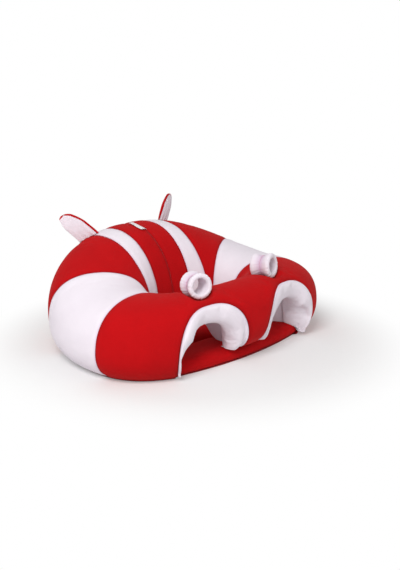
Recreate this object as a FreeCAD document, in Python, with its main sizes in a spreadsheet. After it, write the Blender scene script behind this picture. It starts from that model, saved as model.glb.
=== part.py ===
"""Soft ring-shaped baby support seat, built in millimetres.

The seat stands on the floor at z = 0 and the sitter faces -Y, so +X is the
sitter's left. The origin is the middle of the floor face. A stuffed wall runs
round a low seat well: a tall back, two arms and a front rail over two leg arches.
"""
import FreeCAD, Part
import math
import os
import Sketcher
from FreeCAD import Placement, Rotation, Vector

DOCUMENT = FreeCAD.newDocument("baby_support_seat")

SIZES = {
    # plan of the wall at its widest level
    "outer_half_width": 281.0,
    "outer_front_depth": 167.0,
    "outer_back_depth": 238.0,
    "outer_fullness_share": 2.45,
    "well_half_width": 97.0,
    "well_front_depth": 50.0,
    "well_back_depth": 62.0,
    "well_fullness_share": 2.2,
    # height of the wall above the floor, and how far its crown leans outwards
    "rail_height": 141.0,
    "arm_height": 137.0,
    "back_height": 204.0,
    "rail_end_turn": 20.0,
    "arm_start_turn": 80.0,
    "arm_crown_lean": -10.0,
    "back_crown_lean": 26.0,
    "wall_fullness_share": 2.3,
    "wall_foot_share": 0.88,
    # cloth and sewing
    "cover_cloth": 1.5,
    "bottom_cloth": 1.5,
    "lining_cloth": 1.2,
    "seam_gap": 0.3,
    "filling_gap": 0.1,
    "lip_gap": 0.7,
    "cushion_gap": 1.7,
    # seams of the arm bands, as turns from the middle of the front
    "arm_band_front_turn": 82.3,
    "arm_band_back_turn": 121.3,
    # seams of the back stripes: distance from the middle at the seat's middle and at its back
    "stripe_inner_near_side": 41.0,
    "stripe_inner_back_side": 49.0,
    "stripe_outer_near_side": 71.5,
    "stripe_outer_back_side": 91.5,
    # leg arches: outline on the front face and where it comes out in the well
    "arch_front_plane": 140.0,
    "arch_centre_share": 0.363,
    "arch_spread_share": 0.2847,
    "arch_front_centre": "=outer_half_width * arch_centre_share",
    "arch_front_half_width": "=outer_half_width * arch_spread_share",
    "arch_front_top": 128.5,
    "arch_well_plane": 40.0,
    "arch_well_centre": 60.0,
    "arch_well_half_width": 38.0,
    "arch_well_top": 104.0,
    "arch_fullness_share": 2.8,
    # padded lip round each leg arch
    "lip_width": 22.0,
    "lip_top_width": 36.5,
    "lip_clear_half_width": "=arch_front_half_width - lip_width",
    "lip_clear_top": "=arch_front_top - lip_top_width",
    "lip_clear_fullness_share": 2.4,
    "lip_bulge": 8.0,
    "lip_turn_in_share": 0.3,
    "lip_inner_turn_in_share": 0.55,
    "lip_full_depth": 40.0,
    "lip_foot_height": 16.0,
    "lip_rear_plane": 100.0,
    "lip_rear_thickness": 4.0,
    # cushion in the well and pad under the legs
    "seat_cushion_height": 30.0,
    "seat_cushion_crown": 8.0,
    "leg_pad_height": 27.0,
    "leg_pad_side_gap": 17.0,
    "leg_pad_narrowing": 39.0,
    "leg_pad_half_width": "=arch_front_centre + arch_front_half_width - leg_pad_side_gap",
    "leg_pad_side_depth": 118.0,
    "leg_pad_middle_depth": 138.0,
    "leg_pad_rear_half_width": "=leg_pad_half_width - leg_pad_narrowing",
    "leg_pad_rear_depth": 42.0,
    "leg_pad_roll": 7.0,
    # half width of the stuffed post between the arches, where the front filling is parted
    "post_half_width": 45.0,
    # padded tubes on the rail
    "horn_side": 91.5,
    "horn_depth": 92.5,
    "horn_height": 152.0,
    "horn_length": 48.0,
    "horn_rim_radius": 24.0,
    "horn_waist_radius": 20.5,
    "horn_bore_radius": 14.0,
    "horn_rim_puff": 3.5,
    "horn_splay_angle": 16.7,
    "horn_rise_angle": 7.0,
    "horn_rock_depth": 14.0,
    "horn_rock_angle": 15.0,
    "horn_thread_radius": 0.8,
    "horn_end_gap": 0.8,
    # ears behind the shoulders
    "ear_turn": 160.9,
    "ear_section_angle": 69.0,
    "ear_root_slant_angle": 40.0,
    "ear_length": 61.0,
    "ear_lean": 29.0,
    "ear_root_half_width": 21.5,
    "ear_half_width": 21.0,
    "ear_tip_half_width": 7.0,
    "ear_root_thickness": 2.6,
    "ear_thickness": 10.0,
    "ear_tip_thickness": 3.0,
    "ear_cloth": 1.0,
    "ear_tilt_angle": 4.0,
    "ear_root_gap": 1.2,
    # blank tag sewn in the middle seam of the back
    "label_length": 38.0,
    "label_height": 13.0,
    "label_thickness": 0.9,
    "label_corner": 2.0,
    "label_lean_angle": 80.0,
    "label_section_angle": 100.0,
    "label_root_gap": 0.5,
    # closed zip low on the back
    "zip_bend_share": 2.1099,
    "zip_arc_radius": "=outer_half_width ^ 2 / outer_back_depth * zip_bend_share",
    "zip_half_angle": 6.1,
    "zip_height": 34.0,
    "zip_slope_angle": 31.0,
    "zip_tape_width": 11.0,
    "zip_tape_thickness": 0.8,
    "zip_coil_width": 4.0,
    "zip_coil_thickness": 1.6,
    "zip_slider_length": 9.0,
    "zip_slider_width": 7.0,
    "zip_slider_thickness": 1.6,
    "zip_pull_length": 18.0,
    "zip_pull_width": 5.0,
    "zip_pull_thickness": 1.2,
    "zip_barrel_radius": 0.9,
    "zip_lug_thickness": 0.8,
    "zip_seat_depth": 0.7,
    "zip_gap": 0.35,
}

# counts that set how finely the stuffed forms are drawn
WALL_ARCS = 8
ARCH_ARCS = 8
LIP_STATIONS = 17
SEAM_ROUNDS = 4
HALVINGS = 40
OUTLINE_ARCS = 24
STATION_STEP = 14.0
CROWN_STEPS = 5
EAR_STATIONS = 7
QUARTER = 90.0
BACK = 180.0

# shares that shape the stuffed forms
CUSHION_SIDE_SHARES = (0.0, 0.35, 0.7)
CUSHION_CROWN_SHARE = 0.5
PAD_HEIGHT_AND_ROLL_SHARES = ((0.0, 2.0), (0.45, 0.0), (0.85, 0.4), (1.0, 2.0))
LIP_BELLY_SHARE = 0.45
HORN_SWELL_SHARE = 0.62
HORN_SHOULDER_SHARE = 0.5
HORN_CORNER_SHARE = 0.94
HORN_CORNER_RUN_SHARE = 0.1
HORN_RIM_RUN_SHARE = 0.75
EAR_SWELL_POWER = 0.8
EAR_SPREAD_RATE = 2.2
EAR_TIP_POWER = 1.6
EAR_TIP_START_SHARE = 0.5
SAME_DIRECTION_SHARE = 0.001
ZIP_ROOM_HEIGHT_SHARE = 4.0
PULL_EYE_PARTS = 3

SHEET = DOCUMENT.addObject("Spreadsheet::Sheet", "sizes")
for row, (alias, value) in enumerate(SIZES.items(), start=1):
    SHEET.set(f"A{row}", alias)
    SHEET.set(f"B{row}", str(value))
    SHEET.setAlias(f"B{row}", alias)
DOCUMENT.recompute()


def size(alias):
    """Value of one named cell of the sheet."""
    return float(SHEET.get(alias))


PARTS = []


def keep(item, name):
    """Give an object its label and put it on the list of finished pieces."""
    item.Label = name
    PARTS.append(item)
    return item


def add_shape(name, shape):
    """Keep a shape as a piece of its own."""
    item = DOCUMENT.addObject("Part::Feature", name)
    item.Shape = shape
    return keep(item, name)


def mirrored(shape):
    """The same shape on the other side of the middle plane."""
    return shape.mirror(Vector(), Vector(1, 0, 0))


def add_pair(name, left_shape):
    """Keep a left piece and its mirror image on the right."""
    add_shape(f"{name}_left", left_shape)
    add_shape(f"{name}_right", mirrored(left_shape))


# Forms shared by the stuffed pieces


def signed_power(value, exponent):
    """Power of a number that keeps its sign."""
    return math.copysign(abs(value) ** exponent, value)


def smooth(share):
    """Soft step from 0 to 1."""
    share = min(max(share, 0.0), 1.0)
    return share * share * (3 - 2 * share)


def between(low, high, share):
    """Value that lies a share of the way from low to high."""
    return low + (high - low) * share


def plan_point(turn, half_width, front_depth, back_depth, fullness):
    """Point of a rounded plan outline; turn 0 is the middle of the front."""
    sine, cosine = math.sin(turn), math.cos(turn)
    depth = front_depth if cosine > 0 else back_depth
    return Vector(
        half_width * signed_power(sine, 2 / fullness),
        -depth * signed_power(cosine, 2 / fullness),
        0,
    )


def from_front(turn):
    """Degrees from the middle of the front, the short way round."""
    degrees = abs(math.degrees(turn))
    return min(degrees, 360 - degrees)


def wall_height(turn):
    """Height of the wall's crown at a turn."""
    degrees = from_front(turn)
    if degrees < QUARTER:
        start, end = size("rail_end_turn"), size("arm_start_turn")
        return between(size("rail_height"), size("arm_height"), smooth((degrees - start) / (end - start)))
    return between(size("arm_height"), size("back_height"), smooth(degrees / QUARTER - 1))


def crown_lean(turn):
    """How far the crown leans outwards at a turn."""
    degrees = from_front(turn)
    if degrees < QUARTER:
        return size("arm_crown_lean") * smooth(degrees / QUARTER)
    return between(size("arm_crown_lean"), size("back_crown_lean"), smooth(degrees / QUARTER - 1))


def wall_frame(turn, inset):
    """Middle, outward direction, half width, half height and level of one section."""
    outer = plan_point(
        turn,
        size("outer_half_width"),
        size("outer_front_depth"),
        size("outer_back_depth"),
        size("outer_fullness_share"),
    )
    inner = plan_point(
        turn,
        size("well_half_width"),
        size("well_front_depth"),
        size("well_back_depth"),
        size("well_fullness_share"),
    )
    across = outer - inner
    foot = size("bottom_cloth")
    foot_share = size("wall_foot_share")
    half_height = (wall_height(turn) - foot) / (1 + foot_share)
    level = foot + foot_share * half_height
    middle = (outer + inner) * 0.5
    return middle, across.normalize(), outer.distanceToPoint(inner) / 2 - inset, half_height - inset, level


def foot_angle(turn, inset):
    """Section angle at which the wall meets the bottom cloth."""
    _, _, _, half_height, level = wall_frame(turn, inset)
    drop = (level - size("bottom_cloth")) / half_height
    return math.asin(drop ** (size("wall_fullness_share") / 2))


def wall_point(turn, angle, inset=0.0):
    """Point of the wall; angle 0 is the outside, a quarter turn the crown."""
    middle, outward, half_width, half_height, level = wall_frame(turn, inset)
    power = 2 / size("wall_fullness_share")
    rise = signed_power(math.sin(angle), power)
    reach = half_width * signed_power(math.cos(angle), power) + crown_lean(turn) * rise
    height = max(level + half_height * rise, size("bottom_cloth"))
    return middle + outward * reach + Vector(0, 0, height)


def arcs_through(points):
    """Arcs that join points two steps at a time."""
    return [Part.Arc(*points[i:i + 3]).toShape() for i in range(0, len(points) - 2, 2)]


def line(start, end):
    """Straight edge."""
    return Part.makeLine(start, end)


def wall_section_points(turn, inset):
    """Points of a section from its outer foot over the crown to its inner foot."""
    start = foot_angle(turn, inset)
    steps = 2 * WALL_ARCS
    sweep = math.pi + 2 * start
    points = [wall_point(turn, -start + sweep * i / steps, inset) for i in range(steps + 1)]
    for end in (points[0], points[-1]):
        end.z = size("bottom_cloth")
    return points


def solid_section(turn, inset):
    """Closed section of the stuffing."""
    points = wall_section_points(turn, inset)
    return Part.Wire(arcs_through(points) + [line(points[-1], points[0])])


def skin_section(turn, thickness):
    """Closed section of the cover: out over the crown and back inside the cloth."""
    outside = wall_section_points(turn, 0.0)
    inside = wall_section_points(turn, thickness)
    inside.reverse()
    return Part.Wire(
        arcs_through(outside)
        + [line(outside[-1], inside[0])]
        + arcs_through(inside)
        + [line(inside[-1], outside[0])]
    )


def stations(first_degrees, last_degrees):
    """Turns, in radians, from one seam to the next."""
    steps = max(2, math.ceil(abs(last_degrees - first_degrees) / STATION_STEP))
    return [
        math.radians(between(first_degrees, last_degrees, i / steps)) for i in range(steps + 1)
    ]


def loft(wires, ruled=False):
    """Solid through closed wires."""
    return Part.makeLoft(wires, True, ruled, False)


def cover_between(first_degrees, last_degrees):
    """Cover cloth of the wall between two seams."""
    cloth = size("cover_cloth")
    return loft([skin_section(turn, cloth) for turn in stations(first_degrees, last_degrees)])


def filling_between(first_degrees, last_degrees):
    """Stuffing of the wall between two seams."""
    cloth = size("cover_cloth") + size("filling_gap")
    return loft([solid_section(turn, cloth) for turn in stations(first_degrees, last_degrees)])


def within_seams(word):
    """Upright space between the stripe seams of one kind on the two sides of the back."""
    near, back = size(f"stripe_{word}_near_side"), size(f"stripe_{word}_back_side")
    far = size("outer_half_width") + size("outer_back_depth")
    spread = (back - near) * far / size("outer_back_depth")
    corners = [
        Vector(near - spread, -far, 0),
        Vector(near + spread, far, 0),
        Vector(-near - spread, far, 0),
        Vector(spread - near, -far, 0),
    ]
    return Part.Face(Part.makePolygon(corners + corners[:1])).extrude(Vector(0, 0, far))


def closed_outline(points):
    """Closed wire of arcs; the last point meets the first."""
    return Part.Wire(arcs_through(points + [points[0]]))


# Leg arches


def arch_point(depth, rise, half_width, centre, top, fullness):
    """Point of an arch outline in the plane y = -depth; rise 0 is the outer foot."""
    power = 2 / fullness
    return Vector(
        centre + half_width * signed_power(math.cos(rise), power),
        -depth,
        top * signed_power(math.sin(rise), power),
    )


def arch_values(depth):
    """Centre, half width and top of the arch in the plane y = -depth."""
    share = (depth - size("arch_well_plane")) / (size("arch_front_plane") - size("arch_well_plane"))
    return [
        between(size(f"arch_well_{word}"), size(f"arch_front_{word}"), share)
        for word in ("centre", "half_width", "top")
    ]


def arch_outline_point(depth, rise, inset=0.0):
    """Point of the arch cut through the wall."""
    centre, half_width, top = arch_values(depth)
    return arch_point(depth, rise, half_width - inset, centre, top - inset, size("arch_fullness_share"))


def arch_wire_points(depth, inset):
    """Points of the cut's outline from foot to foot."""
    steps = 2 * ARCH_ARCS
    return [arch_outline_point(depth, math.pi * i / steps, inset) for i in range(steps + 1)]


def arch_tunnel():
    """Space that the left leg arch takes out of the wall."""
    wires = []
    for depth in (size("outer_front_depth") + size("lip_bulge"), 0.0):
        points = arch_wire_points(depth, 0.0)
        wires.append(Part.Wire(arcs_through(points) + [line(points[-1], points[0])]))
    return loft(wires, ruled=True)


def front_face_depth(x, z):
    """How far in front of the middle the wall's outer face lies at x and z."""
    near, far = 0.0, math.pi / 2
    for _ in range(HALVINGS):
        turn = (near + far) / 2
        _, _, _, half_height, level = wall_frame(turn, 0.0)
        rise = min(max((z - level) / half_height, -1.0), 1.0)
        angle = math.asin(signed_power(rise, size("wall_fullness_share") / 2))
        point = wall_point(turn, angle)
        if point.x < x:
            near = turn
        else:
            far = turn
    return -point.y


def lip_points(rise, inset):
    """Points of one section of the padded lip, from the seam round to its rear edge."""
    gap = size("lip_gap")
    centre = size("arch_front_centre")
    rear_plane = size("lip_rear_plane")
    depth = size("arch_front_plane")
    for _ in range(SEAM_ROUNDS):
        seam = arch_outline_point(depth, rise, gap)
        depth = front_face_depth(seam.x, max(seam.z, size("lip_foot_height")))
    inner_side = smooth(2 * rise / math.pi - 1)
    turn_in = between(size("lip_turn_in_share"), size("lip_inner_turn_in_share"), inner_side)
    turned = between(depth, rear_plane, turn_in)
    bulge = size("lip_bulge") * min((depth - rear_plane) / size("lip_full_depth"), 1.0)
    seam = arch_outline_point(depth - inset, rise, gap)
    clear = arch_point(
        turned,
        rise,
        size("lip_clear_half_width") + inset,
        centre,
        size("lip_clear_top") + inset,
        size("lip_clear_fullness_share"),
    )
    front = (seam + clear) * 0.5
    front.y = -(depth + bulge - inset)
    outer_rear = arch_outline_point(rear_plane, rise, gap)
    inner_rear = arch_outline_point(rear_plane, rise, gap + size("lip_rear_thickness") - inset)
    belly = clear + (inner_rear - clear) * LIP_BELLY_SHARE
    belly.y = -between(turned, rear_plane, turn_in)
    return seam, front, clear, belly, inner_rear, outer_rear


def lip_rises():
    """Angles of the lip's sections from the outer foot to the inner foot."""
    return [math.pi * i / (LIP_STATIONS - 1) for i in range(LIP_STATIONS)]


def lip_padding():
    """Wadding inside the left lip."""
    wires = []
    for rise in lip_rises():
        seam, front, clear, belly, inner, outer = lip_points(rise, size("lining_cloth") + size("filling_gap"))
        wires.append(
            Part.Wire(arcs_through([seam, front, clear, belly, inner]) + [line(inner, outer), line(outer, seam)])
        )
    return loft(wires)


def lip_cover():
    """White cloth over the left lip."""
    wires = []
    for rise in lip_rises():
        outside = list(lip_points(rise, 0.0)[:5])
        inside = list(lip_points(rise, size("lining_cloth"))[:5])
        inside.reverse()
        wires.append(
            Part.Wire(
                arcs_through(outside)
                + [line(outside[-1], inside[0])]
                + arcs_through(inside)
                + [line(inside[-1], outside[0])]
            )
        )
    return loft(wires)


def tunnel_lining(wall):
    """White cloth that lines the left arch behind its lip."""
    wires = []
    gap = size("seam_gap")
    for depth in (size("lip_rear_plane") - gap, 0.0):
        outside = arch_wire_points(depth, gap)
        inside = arch_wire_points(depth, gap + size("lining_cloth"))
        inside.reverse()
        wires.append(
            Part.Wire(
                arcs_through(outside)
                + [line(outside[-1], inside[0])]
                + arcs_through(inside)
                + [line(inside[-1], outside[0])]
            )
        )
    return loft(wires, ruled=True).common(wall)


# Cushion in the well and pad under the legs


def well_outline(height, inset, shrink_share=0.0):
    """Closed outline just inside the wall's inner face at a height."""
    count = 2 * OUTLINE_ARCS
    face = []
    for i in range(count):
        turn = -math.pi + 2 * math.pi * i / count
        _, _, _, half_height, level = wall_frame(turn, 0.0)
        rise = min((height - level) / half_height, 0.0)
        angle = math.pi - math.asin(signed_power(rise, size("wall_fullness_share") / 2))
        point = wall_point(turn, angle)
        face.append(Vector(point.x, point.y, 0))
    points = []
    for i in range(count):
        along = (face[(i + 1) % count] - face[i - 1]).normalize()
        drawn_in = face[i] + Vector(-along.y, along.x, 0) * inset
        points.append(drawn_in * (1 - shrink_share) + Vector(0, 0, height))
    return closed_outline(points)


def seat_cushion(inset):
    """Crowned cushion that fills the well's floor; inset draws its cloth in."""
    gap = size("cushion_gap") + inset
    foot = size("bottom_cloth")
    crown = size("seat_cushion_crown")
    edge = size("seat_cushion_height") - crown
    levels = [(between(foot, edge, share), 0.0) for share in CUSHION_SIDE_SHARES]
    for i in range(CROWN_STEPS + 1):
        angle = math.pi / 2 * i / CROWN_STEPS
        shrink = CUSHION_CROWN_SHARE * (1 - math.cos(angle))
        levels.append((edge + crown * math.sin(angle) - inset, shrink))
    whole = loft([well_outline(height, gap, shrink) for height, shrink in levels], ruled=True)
    far = size("outer_half_width")
    front = size("leg_pad_rear_depth") - size("seam_gap") - inset
    return whole.cut(Part.makeBox(2 * far, far, far, Vector(-far, -front - far, 0)))


def leg_pad(inset):
    """Pad under the post and the legs, rounded at its front."""
    foot, top = size("bottom_cloth"), size("leg_pad_height") - inset
    roll = size("leg_pad_roll")
    wires = []
    for share, draw_in in PAD_HEIGHT_AND_ROLL_SHARES:
        height = between(foot, top, share)
        draw = roll * draw_in + inset
        side, middle = size("leg_pad_side_depth") - draw, size("leg_pad_middle_depth") - draw
        rear = size("leg_pad_rear_depth") + inset
        along = (side - rear) / (size("leg_pad_side_depth") - rear)
        rear_half = size("leg_pad_rear_half_width") - inset
        half_width = between(rear_half, size("leg_pad_half_width") - inset, along)
        left, right = Vector(half_width, -side, height), Vector(-half_width, -side, height)
        back_right, back_left = Vector(-rear_half, -rear, height), Vector(rear_half, -rear, height)
        front = Part.Arc(left, Vector(0, -middle, height), right).toShape()
        wires.append(
            Part.Wire([front, line(right, back_right), line(back_right, back_left), line(back_left, left)])
        )
    return loft(wires)


def leg_pad_room():
    """Space over the pad that the wall leaves free, open to the front."""
    side, rear = size("leg_pad_side_depth"), size("leg_pad_rear_depth")
    wide, narrow = size("leg_pad_half_width"), size("leg_pad_rear_half_width")
    far = size("outer_half_width")
    plan = [(wide, far), (wide, side), (narrow, rear), (-narrow, rear), (-wide, side), (-wide, far)]
    corners = [Vector(x, -depth, 0) for x, depth in plan]
    return Part.Face(Part.makePolygon(corners + corners[:1])).extrude(
        Vector(0, 0, size("leg_pad_height") + size("seam_gap"))
    )


def open_front():
    """Space in front of the leg pad, where the bottom cloth is cut away."""
    far, half = size("outer_half_width"), size("leg_pad_half_width")
    side, middle = size("leg_pad_side_depth"), size("leg_pad_middle_depth")
    draw = size("leg_pad_roll")
    left, right = Vector(half, draw - side, 0), Vector(-half, draw - side, 0)
    far_left, far_right = Vector(half, -far, 0), Vector(-half, -far, 0)
    front = Part.Arc(left, Vector(0, draw - middle, 0), right).toShape()
    sides = [line(right, far_right), line(far_right, far_left), line(far_left, left)]
    return Part.Face(Part.Wire([front] + sides)).extrude(Vector(0, 0, size("bottom_cloth")))


def wall_footprint():
    """Closed outline of the wall's outer foot."""
    steps = 2 * OUTLINE_ARCS
    points = []
    for i in range(steps):
        turn = -math.pi + 2 * math.pi * i / steps
        point = wall_point(turn, -foot_angle(turn, 0.0))
        point.z = 0
        points.append(point)
    return closed_outline(points)


# Padded tubes on the rail


def horn_frame():
    """Placement of the left tube: its own Z runs out of the front rim."""
    splay, rise = math.radians(size("horn_splay_angle")), math.radians(size("horn_rise_angle"))
    axis = Vector(math.sin(splay) * math.cos(rise), -math.cos(splay) * math.cos(rise), math.sin(rise))
    up = Vector(0, 0, 1)
    up = (up - axis * up.dot(axis)).normalize()
    across = up.cross(axis)
    centre = Vector(size("horn_side"), -size("horn_depth"), size("horn_height"))
    turn = Rotation(across, up, axis, "ZXY")
    return Placement(centre, turn), axis, up


def mirrored_placement(placement):
    """Placement on the other side of a piece that is its own mirror image across local X."""
    x_axis = placement.Rotation.multVec(Vector(1, 0, 0))
    z_axis = placement.Rotation.multVec(Vector(0, 0, 1))
    flipped_x = Vector(x_axis.x, -x_axis.y, -x_axis.z)
    flipped_z = Vector(-z_axis.x, z_axis.y, z_axis.z)
    rotation = Rotation(flipped_x, flipped_z.cross(flipped_x), flipped_z, "ZXY")
    base = placement.Base
    return Placement(Vector(-base.x, base.y, base.z), rotation)


def origin_plane(body, role):
    """One of a body's own origin planes."""
    return next(item for item in body.Origin.OriginFeatures if item.Role == role)


def sketch_on(body, role):
    """New sketch on an origin plane of its body."""
    sketch = body.newObject("Sketcher::SketchObject", f"{body.Name}_sketch_{len(body.Group)}")
    sketch.AttachmentSupport = [(origin_plane(body, role), "")]
    sketch.MapMode = "FlatFace"
    return sketch


def bind(sketch, constraint, expression):
    """Add a constraint whose size comes from the sheet."""
    index = sketch.addConstraint(constraint)
    sketch.setExpression(f"Constraints[{index}]", expression)


def value_of(expression):
    """Present value of an expression on the sheet."""
    return float(SHEET.evalExpression(expression))


def draw_polygon(sketch, corners):
    """Closed polygon; each corner is a pair of expressions for its two distances."""
    points = [Vector(value_of(across), value_of(along), 0) for across, along in corners]
    count, first = len(points), sketch.GeometryCount
    for i in range(count):
        sketch.addGeometry(Part.LineSegment(points[i], points[(i + 1) % count]))
    for i in range(count):
        side, following = first + i, first + (i + 1) % count
        sketch.addConstraint(Sketcher.Constraint("Coincident", side, 2, following, 1))
        across, along = corners[i]
        bind(sketch, Sketcher.Constraint("DistanceX", -1, 1, side, 1, points[i].x), across)
        bind(sketch, Sketcher.Constraint("DistanceY", -1, 1, side, 1, points[i].y), along)


def draw_rectangle(sketch, low_x, high_x, low_y, high_y):
    """Closed rectangle between bound distances."""
    draw_polygon(sketch, [(low_x, low_y), (high_x, low_y), (high_x, high_y), (low_x, high_y)])


def padded_body(name, role, rectangle, length):
    """Body with one rectangle padded evenly to both sides of its plane."""
    body = DOCUMENT.addObject("PartDesign::Body", name)
    sketch = sketch_on(body, role)
    draw_rectangle(sketch, *rectangle)
    pad = body.newObject("PartDesign::Pad", f"{name}_pad")
    pad.Profile = sketch
    pad.SideType = "Symmetric"
    pad.setExpression("Length", length)
    DOCUMENT.recompute()
    return body


def round_edges(body, edges, radius):
    """Fillet chosen edges of a body's tip."""
    base = body.Tip
    names = [f"Edge{i}" for i, edge in enumerate(base.Shape.Edges, start=1) if edges(edge)]
    fillet = body.newObject("PartDesign::Fillet", f"{body.Name}_rounding")
    fillet.Base = (base, names)
    fillet.setExpression("Radius", radius)
    DOCUMENT.recompute()
    return fillet


def along_axis(edge, axis):
    """Whether an edge is straight and runs along an axis."""
    ends = [vertex.Point for vertex in edge.Vertexes]
    return len(ends) == 2 and (ends[1] - ends[0]).cross(axis).Length < edge.Length * SAME_DIRECTION_SHARE


# Wall: cover panels, stuffing and bottom cloth

FRONT_SEAM = size("arm_band_front_turn")
ARM_SEAM = size("arm_band_back_turn")
INNER_BACK = within_seams("inner")
OUTER_BACK = within_seams("outer")

TUNNEL_LEFT = arch_tunnel()
TUNNEL_RIGHT = mirrored(TUNNEL_LEFT)
LEG_PAD = leg_pad(0.0)
CUSHION = seat_cushion(0.0)


def horn_room():
    """Saddle that the left tube rocks in."""
    placement, axis, up = horn_frame()
    radius = size("horn_rim_radius") + size("seam_gap")
    pivot = placement.Base - up * size("horn_rock_depth")
    length = size("horn_length") + 2 * size("horn_end_gap")
    start = placement.Base - axis * (length / 2)
    saddle = None
    for angle in (-size("horn_rock_angle"), 0.0, size("horn_rock_angle")):
        tube = Part.makeCylinder(radius, length, start, axis)
        tube.rotate(pivot, axis, angle)
        saddle = tube if saddle is None else saddle.fuse(tube)
    return saddle


SADDLE_LEFT = horn_room()
SADDLE_RIGHT = mirrored(SADDLE_LEFT)
FRONT_CUTS = [TUNNEL_LEFT, TUNNEL_RIGHT, SADDLE_LEFT, SADDLE_RIGHT, leg_pad_room()]


def zip_band(inner, outer, low, high, half_angle, start_angle=0.0):
    """Strip of the zip: a slanted rectangle turned about the zip's upright axis."""
    slope = math.radians(size("zip_slope_angle"))
    along, out = Vector(math.sin(slope), 0, math.cos(slope)), Vector(math.cos(slope), 0, -math.sin(slope))
    middle = zip_middle()
    corners = [
        middle + along * run + out * step
        for run, step in ((low, inner), (high, inner), (high, outer), (low, outer))
    ]
    face = Part.Face(Part.makePolygon(corners + corners[:1]))
    solid = face.revolve(Vector(), Vector(0, 0, 1), 2 * half_angle)
    solid.rotate(Vector(), Vector(0, 0, 1), BACK / 2 - half_angle + start_angle)
    solid.translate(Vector(0, zip_axis_depth(), 0))
    return solid


def zip_axis_depth():
    """Distance of the zip's upright axis behind the origin."""
    turn, height = math.pi, size("zip_height")
    _, _, _, half_height, level = wall_frame(turn, 0.0)
    rise = (height - level) / half_height
    angle = math.asin(signed_power(rise, size("wall_fullness_share") / 2))
    return wall_point(turn, angle).y - size("zip_arc_radius")


def zip_middle():
    """Middle of the zip on the cover's face, measured from the zip's axis."""
    return Vector(size("zip_arc_radius"), 0, size("zip_height"))


def zip_room():
    """Shallow channel for the zip in the back."""
    reach = size("zip_tape_width") + size("zip_gap")
    depth = size("zip_seat_depth")
    end = math.degrees(size("zip_gap") / size("zip_arc_radius"))
    clear = size("zip_slider_thickness") * ZIP_ROOM_HEIGHT_SHARE
    return zip_band(-depth, clear, -reach, reach, size("zip_half_angle") + end)


ZIP_ROOM = zip_room()

rear_cover = cover_between(ARM_SEAM, BACK)
add_pair("back_panel", rear_cover.common(INNER_BACK).cut(ZIP_ROOM))
add_pair("back_stripe", rear_cover.common(OUTER_BACK).cut([INNER_BACK, ZIP_ROOM]))
add_pair("shoulder_panel", rear_cover.cut(OUTER_BACK))
add_pair("arm_band", cover_between(FRONT_SEAM, ARM_SEAM))
front_cover = cover_between(-FRONT_SEAM, FRONT_SEAM).cut(FRONT_CUTS)
add_shape("front_panel", front_cover)

rear_filling = filling_between(ARM_SEAM, 2 * BACK - ARM_SEAM)
add_shape("back_filling", rear_filling.common(OUTER_BACK).cut(ZIP_ROOM))
add_pair("shoulder_filling", filling_between(ARM_SEAM, BACK).cut(OUTER_BACK))
add_pair("arm_filling", filling_between(FRONT_SEAM, ARM_SEAM))

front_filling = filling_between(-FRONT_SEAM, FRONT_SEAM)
front_stuffing = front_filling.cut(FRONT_CUTS)
WHOLE_WIDTH = size("outer_half_width") * 2
post_half = size("post_half_width")
post_block = Part.makeBox(2 * post_half, WHOLE_WIDTH, WHOLE_WIDTH, Vector(-post_half, -WHOLE_WIDTH, 0))
corner_block = Part.makeBox(WHOLE_WIDTH, 2 * WHOLE_WIDTH, WHOLE_WIDTH, Vector(post_half, -WHOLE_WIDTH, 0))
add_shape("post_filling", front_stuffing.common(post_block))
add_pair("front_corner_filling", front_stuffing.common(corner_block))

bottom = Part.Face(wall_footprint()).extrude(Vector(0, 0, size("bottom_cloth")))
add_shape("bottom_cloth_panel", bottom.cut(open_front()))

# Leg arches: padded lips and cloth linings

half_width = size("outer_half_width")
floor_corner = Vector(-half_width, -half_width, size("bottom_cloth") - half_width)
floor_block = Part.makeBox(WHOLE_WIDTH, WHOLE_WIDTH, half_width, floor_corner)
pad_half = size("leg_pad_half_width")
pad_top = size("leg_pad_height") + size("seam_gap")
pad_block = Part.makeBox(2 * pad_half, half_width, pad_top, Vector(-pad_half, -half_width, 0))
add_pair("leg_arch_padding", lip_padding().cut([floor_block, pad_block]))
add_pair("leg_arch_lip_cover", lip_cover().cut([floor_block, pad_block]))
wall_front = loft([solid_section(turn, 0.0) for turn in stations(0.0, FRONT_SEAM)])
add_pair("leg_arch_lining", tunnel_lining(wall_front).cut(leg_pad_room()))

# Seat cushion and leg pad

cushion_core = seat_cushion(size("cover_cloth"))
add_shape("seat_cushion_filling", cushion_core)
add_shape("seat_cushion_cover", CUSHION.cut(cushion_core))
pad_core = leg_pad(size("cover_cloth"))
add_shape("leg_pad_filling", pad_core)
add_shape("leg_pad_cover", LEG_PAD.cut(pad_core))

# Padded tubes: outer sleeve, wadding, bore lining and gathering thread


def horn_profile(inset):
    """Half section of the tube's outside, drawn in by its cloth."""
    half = size("horn_length") / 2 - size("horn_rim_puff")
    bore = size("horn_bore_radius") + size("lining_cloth")
    rim, waist = size("horn_rim_radius") - inset, size("horn_waist_radius") - inset
    puff = size("horn_rim_puff") - inset
    shoulder = between(bore, rim, HORN_SHOULDER_SHARE)
    swell = half * HORN_SWELL_SHARE
    points = [
        Vector(bore, 0, half),
        Vector(shoulder, 0, half + puff),
        Vector(between(shoulder, rim, HORN_CORNER_SHARE), 0, between(half, swell, HORN_CORNER_RUN_SHARE)),
        Vector(rim, 0, between(half, swell, HORN_RIM_RUN_SHARE)),
        Vector(waist, 0, 0),
    ]
    return points, bore


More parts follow.
